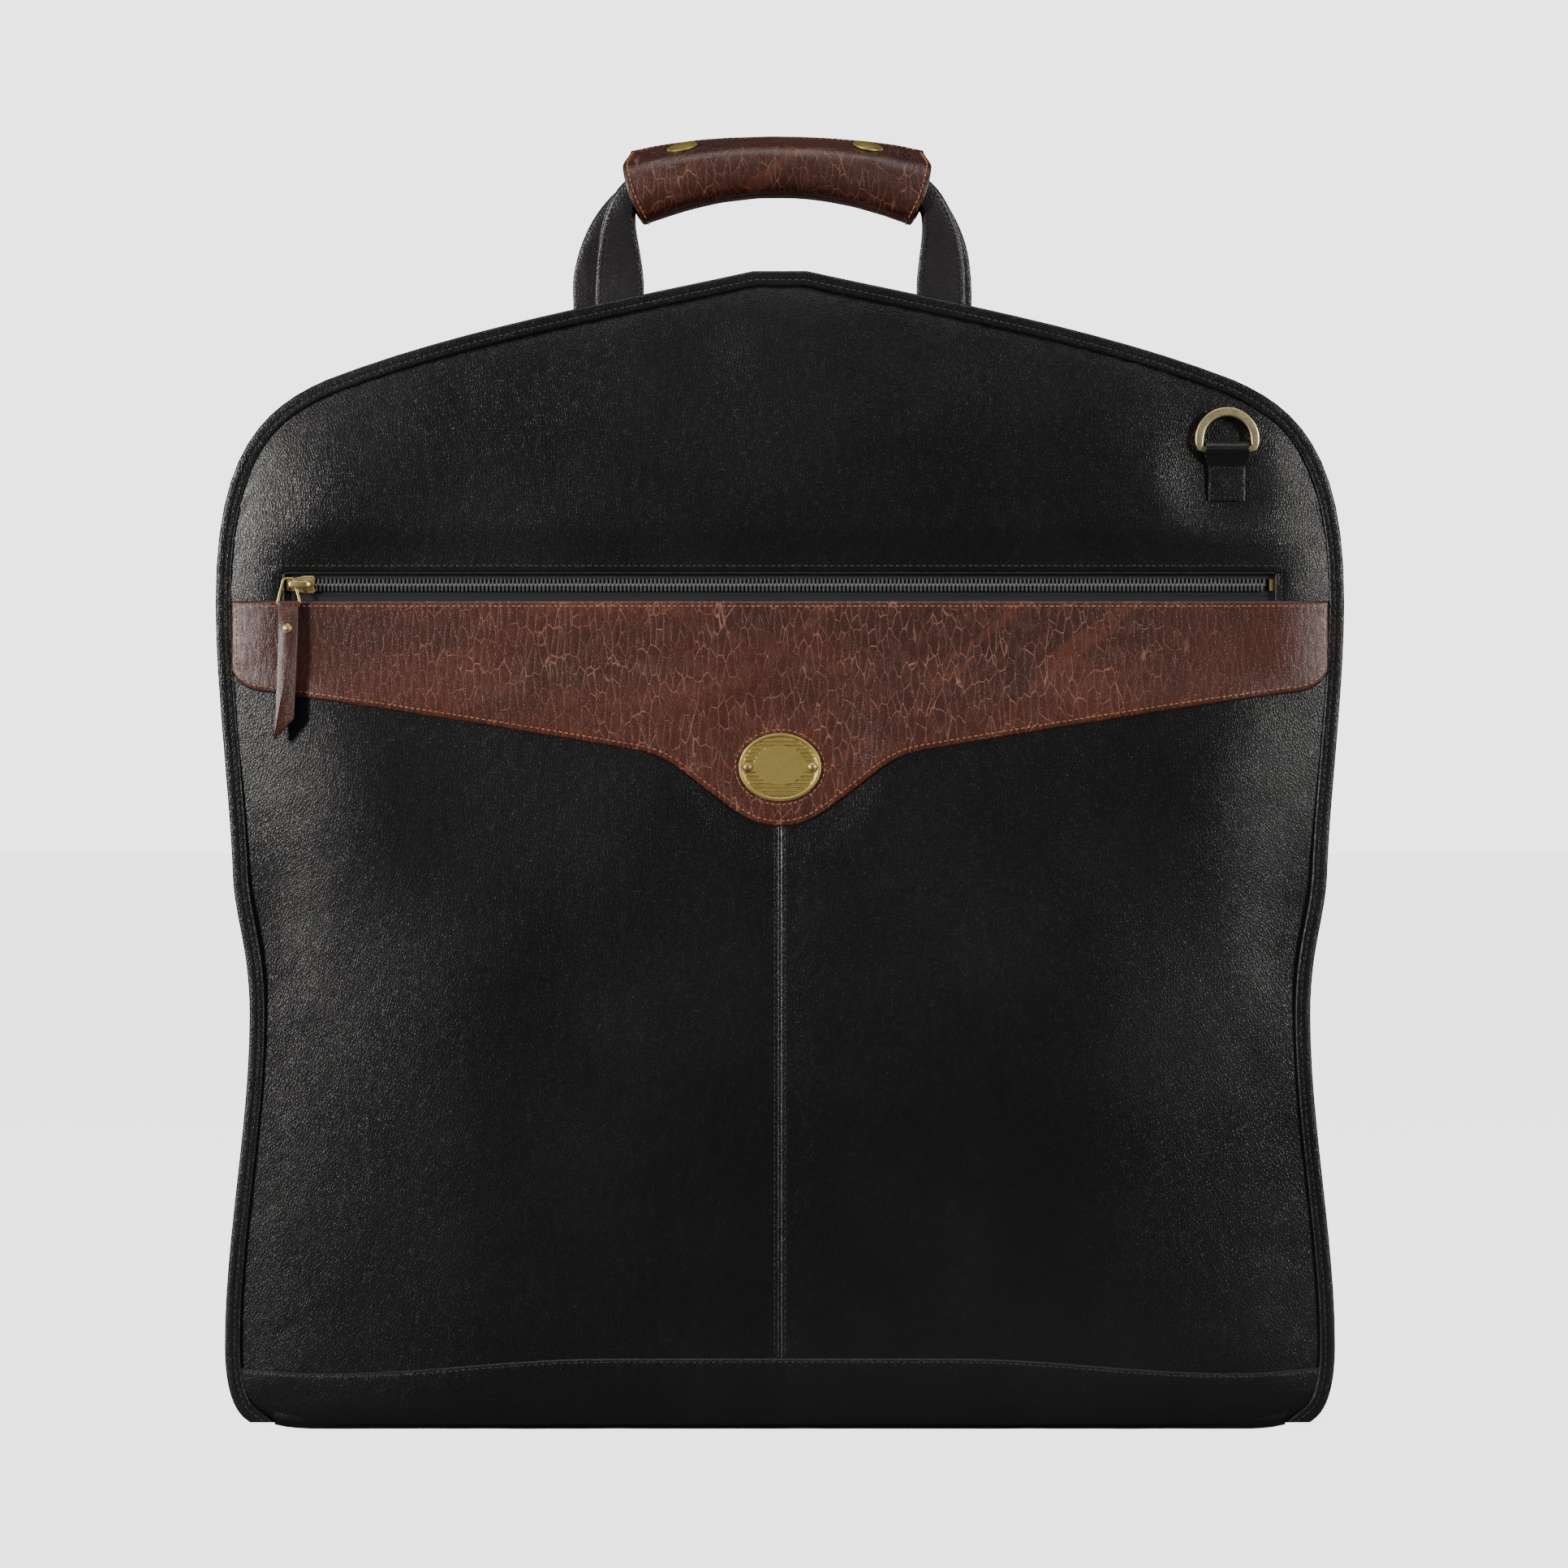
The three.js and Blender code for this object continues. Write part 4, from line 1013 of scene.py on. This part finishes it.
def pocket_slider():
    low, high = mm_box("pocket_zip_slider")
    x, z = centre("pocket_zip_slider")[0], ZIP_Z
    half_body = [(-7.2, 2.3), (-6.2, 3.3), (-2.5, 3.7), (1.4, 4.6), (5.9, 4.6), (7.2, 3.6), (6.5, 1.2)]
    body = [(x + u, z + v) for u, v in half_body] + [(x + u, z - v) for u, v in reversed(half_body)]
    front = high[1] - 2.0
    shell = plate(body, high[1] - 0.1, front, 0.5)
    smaller = [(x + 0.82 * (a - x), z + 0.7 * (b - z)) for a, b in body]
    crown = plate(smaller, front + 0.1, front - 0.45, 0.3)
    feet = (low[0] + 1.1, high[0] - 1.6)
    top = low[1] + 0.85
    arch = [(feet[0], front + 0.3), (feet[0], top + 1.9), (feet[0] + 0.4, top + 0.6), (feet[0] + 1.7, top)]
    arch += [(feet[1] - 3.4, top), (feet[1] - 1.1, top + 0.9), (feet[1], top + 2.6), (feet[1], front + 0.3)]
    path = [(p.x, p.y, z) for p in spline(arch, 6)]
    widths = [lerp(0.85, 1.7, math.sin(math.pi * i / (len(path) - 1)) ** 2) for i in range(len(path))]
    bridge = strip(path, (0, 0, 1), widths, 0.62, 0.6)
    piece("pocket_slider_body", merge(shell, crown, bridge), BRASS, "pocket_slider",
          replaces=("pocket_zip_slider",), sharp=35)


def pocket_pull():
    low, high = mm_box("pocket_pull_frame")
    x, depth, _ = centre("pocket_pull_frame")
    frame_loop = rounded([(x - 2.7, high[2] - 0.75), (x + 2.7, high[2] - 0.75),
                          (x + 6.0, low[2] + 0.75), (x - 6.0, low[2] + 0.75)], 1.6)
    piece("pull_frame",
          strip([(p.x, depth, p.y) for p in frame_loop], (0, 1, 0), 0.6, 0.72, 0.7, closed=True), BRASS,
          "pocket_pull", replaces=("pocket_pull_frame",))
    (_, near, tip), (_, far, _) = mm_box("pocket_pull_tab")
    top = low[2] - 0.4
    wide, lean = 5.2, 2.2
    left = [(x - wide - lean * t ** 1.6, lerp(top, tip, t)) for t in (0, 0.25, 0.5, 0.75, 0.97)]
    right = [(x + wide - lean * t ** 1.6, lerp(top, tip + 11.8, t)) for t in (0, 0.25, 0.5, 0.75, 0.98)]
    leaf = rounded(left + right[::-1], 0.9, 3)
    split = (near + far) / 2
    behind, before = plate(leaf, far - 0.1, split + 0.06, 0.4), plate(leaf, near + 0.1, split - 0.06, 0.4)
    points, faces = merge(behind, before)

    def leaned_out(z):
        """How far the leather leans out at a height, to clear the yoke when it swings."""
        return 4 * max(top - z, 0) / (top - tip)

    layers = ([(q[0], q[1] - leaned_out(q[2]), q[2]) for q in points], faces)
    bar_z = low[2] + 0.75
    loop = [(x, *p) for p in arc(depth, bar_z, 1.45, 0, math.pi, 12)]
    loop = [(x, depth + 1.4, top - 1.2), *loop, (x, depth - 1.4, top - 1.2)]
    piece("pull_leather", merge(layers, strip(loop, (1, 0, 0), wide - 0.1, 0.5, 0.3)), BROWN, "pocket_pull",
          replaces=("pocket_pull_tab",))
    rivet_x, _, rivet_z = centre("pocket_pull_rivet")
    at = (rivet_x, near - 0.1 - leaned_out(rivet_z), rivet_z)
    profile = [(0, -0.5), (2.3, -0.5), (2.5, 0), (2.45, 0.35), (2.05, 0.6), (1.7, 0.55), (1.3, 0.95)]
    dome("pull_rivet", [*profile, (0, 1.15)], at, FACING_FRONT, BRASS, "pocket_pull", "pocket_pull_rivet")


# ---- D-rings on stitched tabs
def d_ring(half, side):
    """A ring whose straight bar is thinner than its bow."""
    low, high = mm_box(f"{half}_d_ring")
    x, depth = centre(f"{half}_d_ring")[0], side * (abs(low[1]) + abs(high[1])) / 2
    bar_z, rise, radius = low[2] + 1.5, 5, 14.4
    loop = arc(x, bar_z + rise, radius, 0, math.pi, 36)
    foot = [(x - radius, bar_z + 2.6), (x - radius + 0.5, bar_z + 0.7), (x - radius + 2.4, bar_z)]
    foot += [(u, bar_z) for u in even(x - radius + 3, x + radius - 3, 12)]
    foot += [(x + radius - 2.4, bar_z), (x + radius - 0.5, bar_z + 0.7), (x + radius, bar_z + 2.6)]
    bow = len(loop)
    path = [(u, depth, v) for u, v in loop + foot]
    in_plane = [2.3] * bow + [2.1, 1.8, 1.5] + [1.45] * (len(foot) - 6) + [1.5, 1.8, 2.1]
    through = [1.7] * bow + [1.65, 1.6, 1.5] + [1.45] * (len(foot) - 6) + [1.5, 1.6, 1.65]
    piece(f"{half}_ring_bow", strip(path, (0, 1, 0), through, in_plane, 0.38, 24, closed=True), RING_BRASS,
          f"{half}_ring", replaces=(f"{half}_d_ring",))
    ring_tab(half, side, x, abs(depth), bar_z)


def ring_tab(half, side, x, ring_depth, bar_z):
    """A loop of leather round the ring's bar, sewn down with a square and a cross."""
    low, high = mm_box(f"{half}_d_ring_tab")
    half_wide = (high[0] - low[0]) / 2
    base, back, flat = low[2], SKIN + 0.75, SKIN + 2.1
    around = arc(ring_depth, bar_z, 3.15, math.radians(200), math.radians(-20), 10)
    line = [(back, base), (back, base + 9), (back, bar_z - 5), *around, (flat + 0.6, bar_z - 7.5),
            (flat, bar_z - 10.5), (flat, base + 8), (flat, base)]
    route = spline([Vector(p) for p in line], 4)
    widths = [lerp(half_wide - 1.9, half_wide, smooth(p.y, bar_z - 8, bar_z - 3)) for p in route]
    tab = strip([(x, side * p.x, p.y) for p in route], (1, 0, 0), widths, 0.66, 0.25)
    piece(f"{half}_tab", tab, BLACK, f"{half}_half", replaces=(f"{half}_d_ring_tab",))
    top, edge, face = bar_z - 9.5, half_wide - 2.9, side * (flat + 0.66)
    corners = [(x - edge, base + 1.6), (x + edge, base + 1.6), (x + edge, top), (x - edge, top)]
    square_and_cross = ((0, 1), (1, 2), (2, 3), (3, 0), (0, 2), (1, 3))
    paths = [[(corners[k][0], face, corners[k][1]) for k in run] for run in square_and_cross]
    sew(f"{half}_tab_stitches", paths, (0, side, 0), f"{half}_half", pitch=2.6, length=1.9, width=0.5)


# ---- the handle
LEG_HALF_WIDTH = 12.8
ROLLED = {"half": 6.4, "depth": 7.6, "until": 66}
ROOT_LOW = mm_box("front_handle_root_left")[0][2] + 1
ROOT_DEPTH = 5.5  # from the middle plane to the strap's centre, where it is sewn on


def grip_frame(along_grip):
    """A frame on the arched grip's centre line: X along it, Y backwards, Z up from it."""
    a = along_grip / GRIP["radius"]
    x = GRIP["x"] + GRIP["radius"] * math.sin(a)
    z = GRIP["z"] - GRIP["radius"] * (1 - math.cos(a))
    return Matrix.Translation((x, 0, z)) @ Matrix.Rotation(a, 4, "Y")


def leg_stations(half, turn):
    """Points (x, z), and the share of the way from flat to rolled, up one leg to the grip."""
    name = "left" if turn < 0 else "right"
    foot = Vector((centre(f"{half}_handle_root_{name}")[0], TILT_Z))
    end_frame = grip_frame(turn * (GRIP["half"] - 6))
    end = Vector((end_frame.translation.x, end_frame.translation.z))
    slope = end_frame.to_3x3() @ Vector((turn, 0, 0))
    out = [(Vector((foot.x, z)), 0) for z in even(ROOT_LOW, TILT_Z - 3, 9)]
    curve = (foot, foot + Vector((0, 21)), end + Vector((slope.x, slope.z)) * 19, end)
    return out + [(p, (i + 1) / 17) for i, p in enumerate(bezier(curve, 17))]


def strap_line(half, side):
    """Along a strap: its points, the axes of its width, its half widths and its half thicknesses."""
    middle = [grip_frame(s).translation for s in even(-ROLLED["until"], ROLLED["until"], 16)]
    rolled = [(Vector((p.x, p.z)), 1) for p in middle]
    stations = leg_stations(half, -1) + rolled + leg_stations(half, 1)[::-1]
    path, axes, wides, thicks = [], [], [], []
    for i, (p, t) in enumerate(stations):
        before, after = stations[max(i - 1, 0)][0], stations[min(i + 1, len(stations) - 1)][0]
        run = (after - before).normalized()
        share = smooth(t, 0, 0.9)
        at_root = 1 - smooth(p.y, ROOT_LOW + 15, TILT_Z - 4)
        depth = lerp(lerp(2.3, ROOT_DEPTH, at_root), ROLLED["depth"], share)
        wobble = 0.5 * waver(p.x / 40, p.y / 18, side * 5) * (1 - share)
        path.append((p.x + wobble, side * depth, p.y))
        axes.append((-run.y, 0, run.x))
        wides.append(lerp(LEG_HALF_WIDTH, ROLLED["half"], share))
        thicks.append(lerp(1.95, ROLLED["half"], share))
    return path, axes, wides, thicks


def handle_strap(half, side):
    """A flat strap that is rolled round where it runs through the wrap."""
    path, axes, wides, thicks = strap_line(half, side)
    rings = []
    for p, axis, wide, thick in zip(path, axes, wides, thicks):
        ring = []
        for u, v in section(wide, thick, 0.3, 28):
            notch = 0.55 * math.exp(-((v / 0.45) ** 2)) if abs(u) > wide * 0.9 else 0
            crown = 1 + 0.12 * (1 - (u / wide) ** 2)
            out_to_edge = Vector(axis) * math.copysign(abs(u) - notch, u)
            ring.append(Vector(p) + out_to_edge + Vector((0, v * crown, 0)))
        rings.append(ring)
    bend = (f"{half}_half", f"{half}_handle", (0, 0, 0.588), (0, 0, 0.612))
    roots = tuple(f"{half}_handle_root_{name}" for name in SIDES)
    replaced = (f"{half}_handle_strap", *roots)
    piece(f"{half}_strap", tube(rings), STRAP_BLACK, None, replaces=replaced, bend=bend)
    sewing = []
    straight = 24  # stations of a leg that are sewn, from its root
    for edge in (-1, 1):
        line = [Vector(p) + Vector(axis) * edge * (wide - 2.3) + Vector((0, side * (thick * 1.03 + 0.15), 0))
                for p, axis, wide, thick in zip(path, axes, wides, thicks)]
        sewing += [line[:straight], line[-straight:]]
    sew(f"{half}_strap_stitches", sewing, (0, side, 0), None, bend=bend, pitch=3.2, length=2.3, width=0.8,
        height=0.7)


# Centre lines of the wrap's leather, as (depth, height over the grip's centre line).
BASE_LINE = ((-9.2, -15.35), (-3, -15.7), (2, -15.6), (11.3, -13.4), (16.6, -7.5), (18.2, 1), (15.6, 8),
             (9.5, 11.6), (2, 9.9), (-5.8, 7.85))
FLAP_LINE = ((8.2, 15.4), (-2, 11.9), (-11.6, 8.3), (-16.3, 4.9), (-18.2, -1), (-17.7, -7.4), (-14.8, -12.8),
             (-9.6, -15.2))
WRAP_HALF = GRIP["half"]
WRAP_THICK = 2.3
SNAP_X = {"left": -49.6, "right": 44.5}
HINGE_Z = (GRIP["z"] - 18) * MM
FLAP_BEND = ("rear_handle", "handle_flap", (0, -0.015, HINGE_Z), (0, -0.019, HINGE_Z + 0.008))


def on_wrap(p, share):
    """A point of the wrap's section: its ends stand taller than its middle, and bulge out at mid height."""
    half = WRAP_HALF + 4.5 * math.sin(math.pi * min(max((p.y + 22) / 38, 0), 1)) - 4 * smooth(p.y, 8, 15.4)
    s = lerp(-half, half, share)
    taller = 1 + (0.36 if p.y > 0 else 0.16) * (s / WRAP_HALF) ** 2
    return grip_frame(s) @ Vector((0, p.x, p.y * taller))


def outward_on(route, k):
    """The direction away from the straps, in the wrap's section."""
    run = (route[min(k + 1, len(route) - 1)] - route[max(k - 1, 0)]).normalized()
    way = Vector((-run.y, run.x))
    return -way if way.dot(route[k]) < 0 else way


def outward_at(route, k, along_grip):
    """The same direction in space."""
    way = outward_on(route, k)
    return grip_frame(along_grip).to_3x3() @ Vector((0, way.x, way.y))


def wrap_piece(name, line, body, bend, replaced):
    """A sheet of leather bent round the straps and along the arched grip."""
    route = spline([Vector(p) for p in line], 6)
    last = len(route) - 1
    rings = []
    for share in [0, 0.004, 0.014, *(i / 30 for i in range(1, 30)), 0.986, 0.996, 1]:
        s = lerp(-WRAP_HALF, WRAP_HALF, share)
        from_end = WRAP_HALF - abs(s)
        puff = 1 + 0.035 * smooth(from_end, 0, 14) - 0.02
        ring = []
        for face, order in ((1, range(last + 1)), (-1, range(last, -1, -1))):
            for k in order:
                end_round = 0.6 * (k in (0, last)) + 0.25 * (from_end < 0.5)
                thick = WRAP_THICK / 2 * face * (1 - end_round)
                wrinkle = 0.3 * waver(s / 14, k / 4, 1)
                ring.append(on_wrap(route[k] * puff + outward_on(route, k) * (thick + wrinkle), share))
        rings.append(ring)
    made = piece(name, tube(rings), WRAP_BROWN, body, replaces=(replaced,), bend=bend)

    def sewn(k, share):
        out = outward_at(route, k, lerp(-WRAP_HALF, WRAP_HALF, share))
        return on_wrap(route[k], share) + out * (WRAP_THICK / 2 + 0.15)

    def normal(p):
        along_grip = math.atan2(p.x - GRIP["x"], p.z - GRIP["z"] + GRIP["radius"]) * GRIP["radius"]
        local = grip_frame(along_grip).inverted() @ p
        nearest = min(range(1, last), key=lambda k: (route[k] - Vector((local.y, local.z))).length)
        return outward_at(route, nearest, along_grip)

    inset = 2.6 / (2 * WRAP_HALF)
    paths = [[sewn(k, share) for k in range(3, last - 2)] for share in (inset, 1 - inset)]
    if bend:
        paths.append([sewn(2, share) for share in even(0.03, 0.97, 40)])
    sew(f"{name}_stitches", paths, normal, body, TAN_THREAD, bend, pitch=3.1, length=2.3, width=0.75)


def snap_caps():
    """The press studs' caps, on the slope of the flap's edge."""
    profile = [(0, -0.5), (7.6, -0.5), (8.1, 0.1), (8.05, 0.55), (7.7, 0.85), (7.2, 0.85), (6.9, 0.75)]
    profile += [(6.2, 1.1), (4.2, 1.75), (2.0, 2.1), (0, 2.2)]
    slope = math.atan2(FLAP_LINE[0][1] - FLAP_LINE[2][1], FLAP_LINE[0][0] - FLAP_LINE[2][0])
    for name, x in SNAP_X.items():
        s = x - GRIP["x"]
        at = on_wrap(Vector((-5.6, 12.3)), 0.5 + s / (2 * WRAP_HALF))
        turn = grip_frame(s).to_3x3().to_4x4() @ Matrix.Rotation(slope, 4, "X")
        dome(f"snap_{name}", profile, at, turn, BADGE_BRASS, "handle_flap", f"snap_cap_{name}", 40)


# ---- the fold, the hook and the inside
def fold():
    """The leather that joins the halves under the bag, in two lengths that meet in the middle."""
    wide = even(-FOLD_WIDTH, FOLD_WIDTH, 88)
    for half, side in HALVES.items():
        turned_edge = [(SKIN - 3.6, 9), (SKIN - 3.3, 5.6), (SKIN - 5.2, 2.1), (SKIN - 10, 0.5)]
        outer = spline([*turned_edge, (SKIN - 20, 0.15), (20, 0.1), (0.15, 0.1)], 6)
        grid = []
        for p in outer:
            row = []
            for x in wide:
                wave = 0.5 + 0.5 * waver(x / 24, p.x / 12, side)
                row.append(Vector((x, side * p.x, p.y + 0.35 * smooth(p.x, 6, 30) * wave)))
            grid.append(row)
        joint_bodies = ("front_half", "spine") if half == "front" else ("spine", "rear_half")
        edge, inside = (0, side * (SKIN - 1) * MM, 0.006), (0, side * (SKIN - 6) * MM, 0.006)
        ends = (edge, inside) if half == "front" else (inside, edge)
        piece(f"fold_leather_{half}", slab(grid, (0, -side * 0.6, 2.2)), BLACK, None,
              replaces=("fold_spine",), bend=(*joint_bodies, *ends))


def hook_and_strap():
    low, high = mm_box("hanging_hook")
    wire = 2
    depth = centre("hanging_hook")[1]
    bend = 17.5
    bend_z = high[2] - wire - bend
    line = [(0, low[2]), (0, low[2] + 6), (0.4, low[2] + 12)]
    line += arc(0, bend_z, bend, -0.9, math.pi + 0.5, 9)
    path = [(p.x, depth, p.y) for p in spline(line, 6)]
    piece("hook_wire", strip(path, (0, 1, 0), wire, wire, 1, 16), STEEL, "bag_hook",
          replaces=("hanging_hook",))
    s_low, s_high = mm_box("hook_strap")
    strap = [(0, depth, z) for z in even(s_low[2], s_high[2], 30)]
    widths = [11.4 if p[2] < s_low[2] + 8 else 9 for p in strap]
    piece("hook_strap_leather", strip(strap, (1, 0, 0), widths, 1.3, 0.3), STRAP_BLACK, "bag_hook",
          replaces=("hook_strap",))
    rows = [[(x, depth - 1.35, z) for z in (s_low[2] + 12, s_high[2] - 4)] for x in (-6.8, 6.8)]
    sew("hook_strap_stitches", rows, (0, -1, 0), "bag_hook")
    v_low, v_high = mm_box("hook_sleeve")
    near, far = v_low[1] + 0.6, v_high[1] - 0.7
    band = [(-19.8, far), (-13.5, far), (-10.9, far - 1.6), (-10.3, near + 1.6), (-8.6, near), (8.6, near),
            (10.3, near + 1.6), (10.9, far - 1.6), (13.5, far), (19.8, far)]
    path = [(p.x, p.y, centre("hook_sleeve")[2]) for p in spline(band, 4)]
    piece("sleeve", strip(path, (0, 0, 1), (v_high[2] - v_low[2]) / 2, 0.55, 0.25), BLACK, "rear_half",
          replaces=("hook_sleeve",))


def pocket_lining():
    low, high = mm_box("pocket_lining")
    middle, free = centre("pocket_lining")[1], 60
    grid = []
    for z in even(low[2], high[2], 40):
        loose = smooth(z, low[2], low[2] + free) * (1 - smooth(z, high[2] - free, high[2]))
        row = []
        for x in even(low[0], high[0], 52):
            fall = 1.6 * waver(x / 45, z / 150, 2) * (0.25 + loose)
            row.append(Vector((x, middle + fall, z)))
        grid.append(row)
    made = piece("pocket_bag", slab(grid, (0, 0.5, 0)), LINING, "front_half", replaces=("pocket_lining",))


def keep_cad(node, paint, bevel):
    """A CAD node whose shape is right gets softened edges and a real finish."""
    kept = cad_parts[node]
    kept.data.materials.clear()
    kept.data.materials.append(paint)
    soften = kept.modifiers.new("soften", "BEVEL")
    soften.width = bevel * MM
    soften.segments = 3
    soften.limit_method = "ANGLE"
    soften.angle_limit = math.radians(35)


camera()
studio()
for half_name, half_side in HALVES.items():
    upper_panel(half_name, half_side)
    bottom_band(half_name, half_side)
    binding(half_name, "outer", SKIN - RIM_SINK + 3.0, half_side)
    binding(half_name, "inner", INNER + 4.0, half_side)
    main_zip(half_name, half_side)
    d_ring(half_name, half_side)
    handle_strap(half_name, half_side)
    for side_name, side_turn in SIDES.items():
        side_wall(half_name, half_side, side_name, side_turn)
        inner_lining(half_name, half_side, side_name, side_turn)
lower_skins()
seam_stitches()
yoke()
badge()
pocket_zip()
pocket_slider()
pocket_pull()
wrap_piece("wrap_back", BASE_LINE, "rear_handle", None, "wrap_base")
wrap_piece("wrap_front", FLAP_LINE, None, FLAP_BEND, "wrap_flap")
snap_caps()
fold()
hook_and_strap()
pocket_lining()
for stop in ("pocket_zip_stop_left", "pocket_zip_stop_right", "main_zip_slider", "main_zip_pull"):
    keep_cad(stop, BRASS, 0.35)
keep_cad("hanger_bracket", STEEL, 0.4)
keep_cad("top_stiffener", BOARD, 0.5)
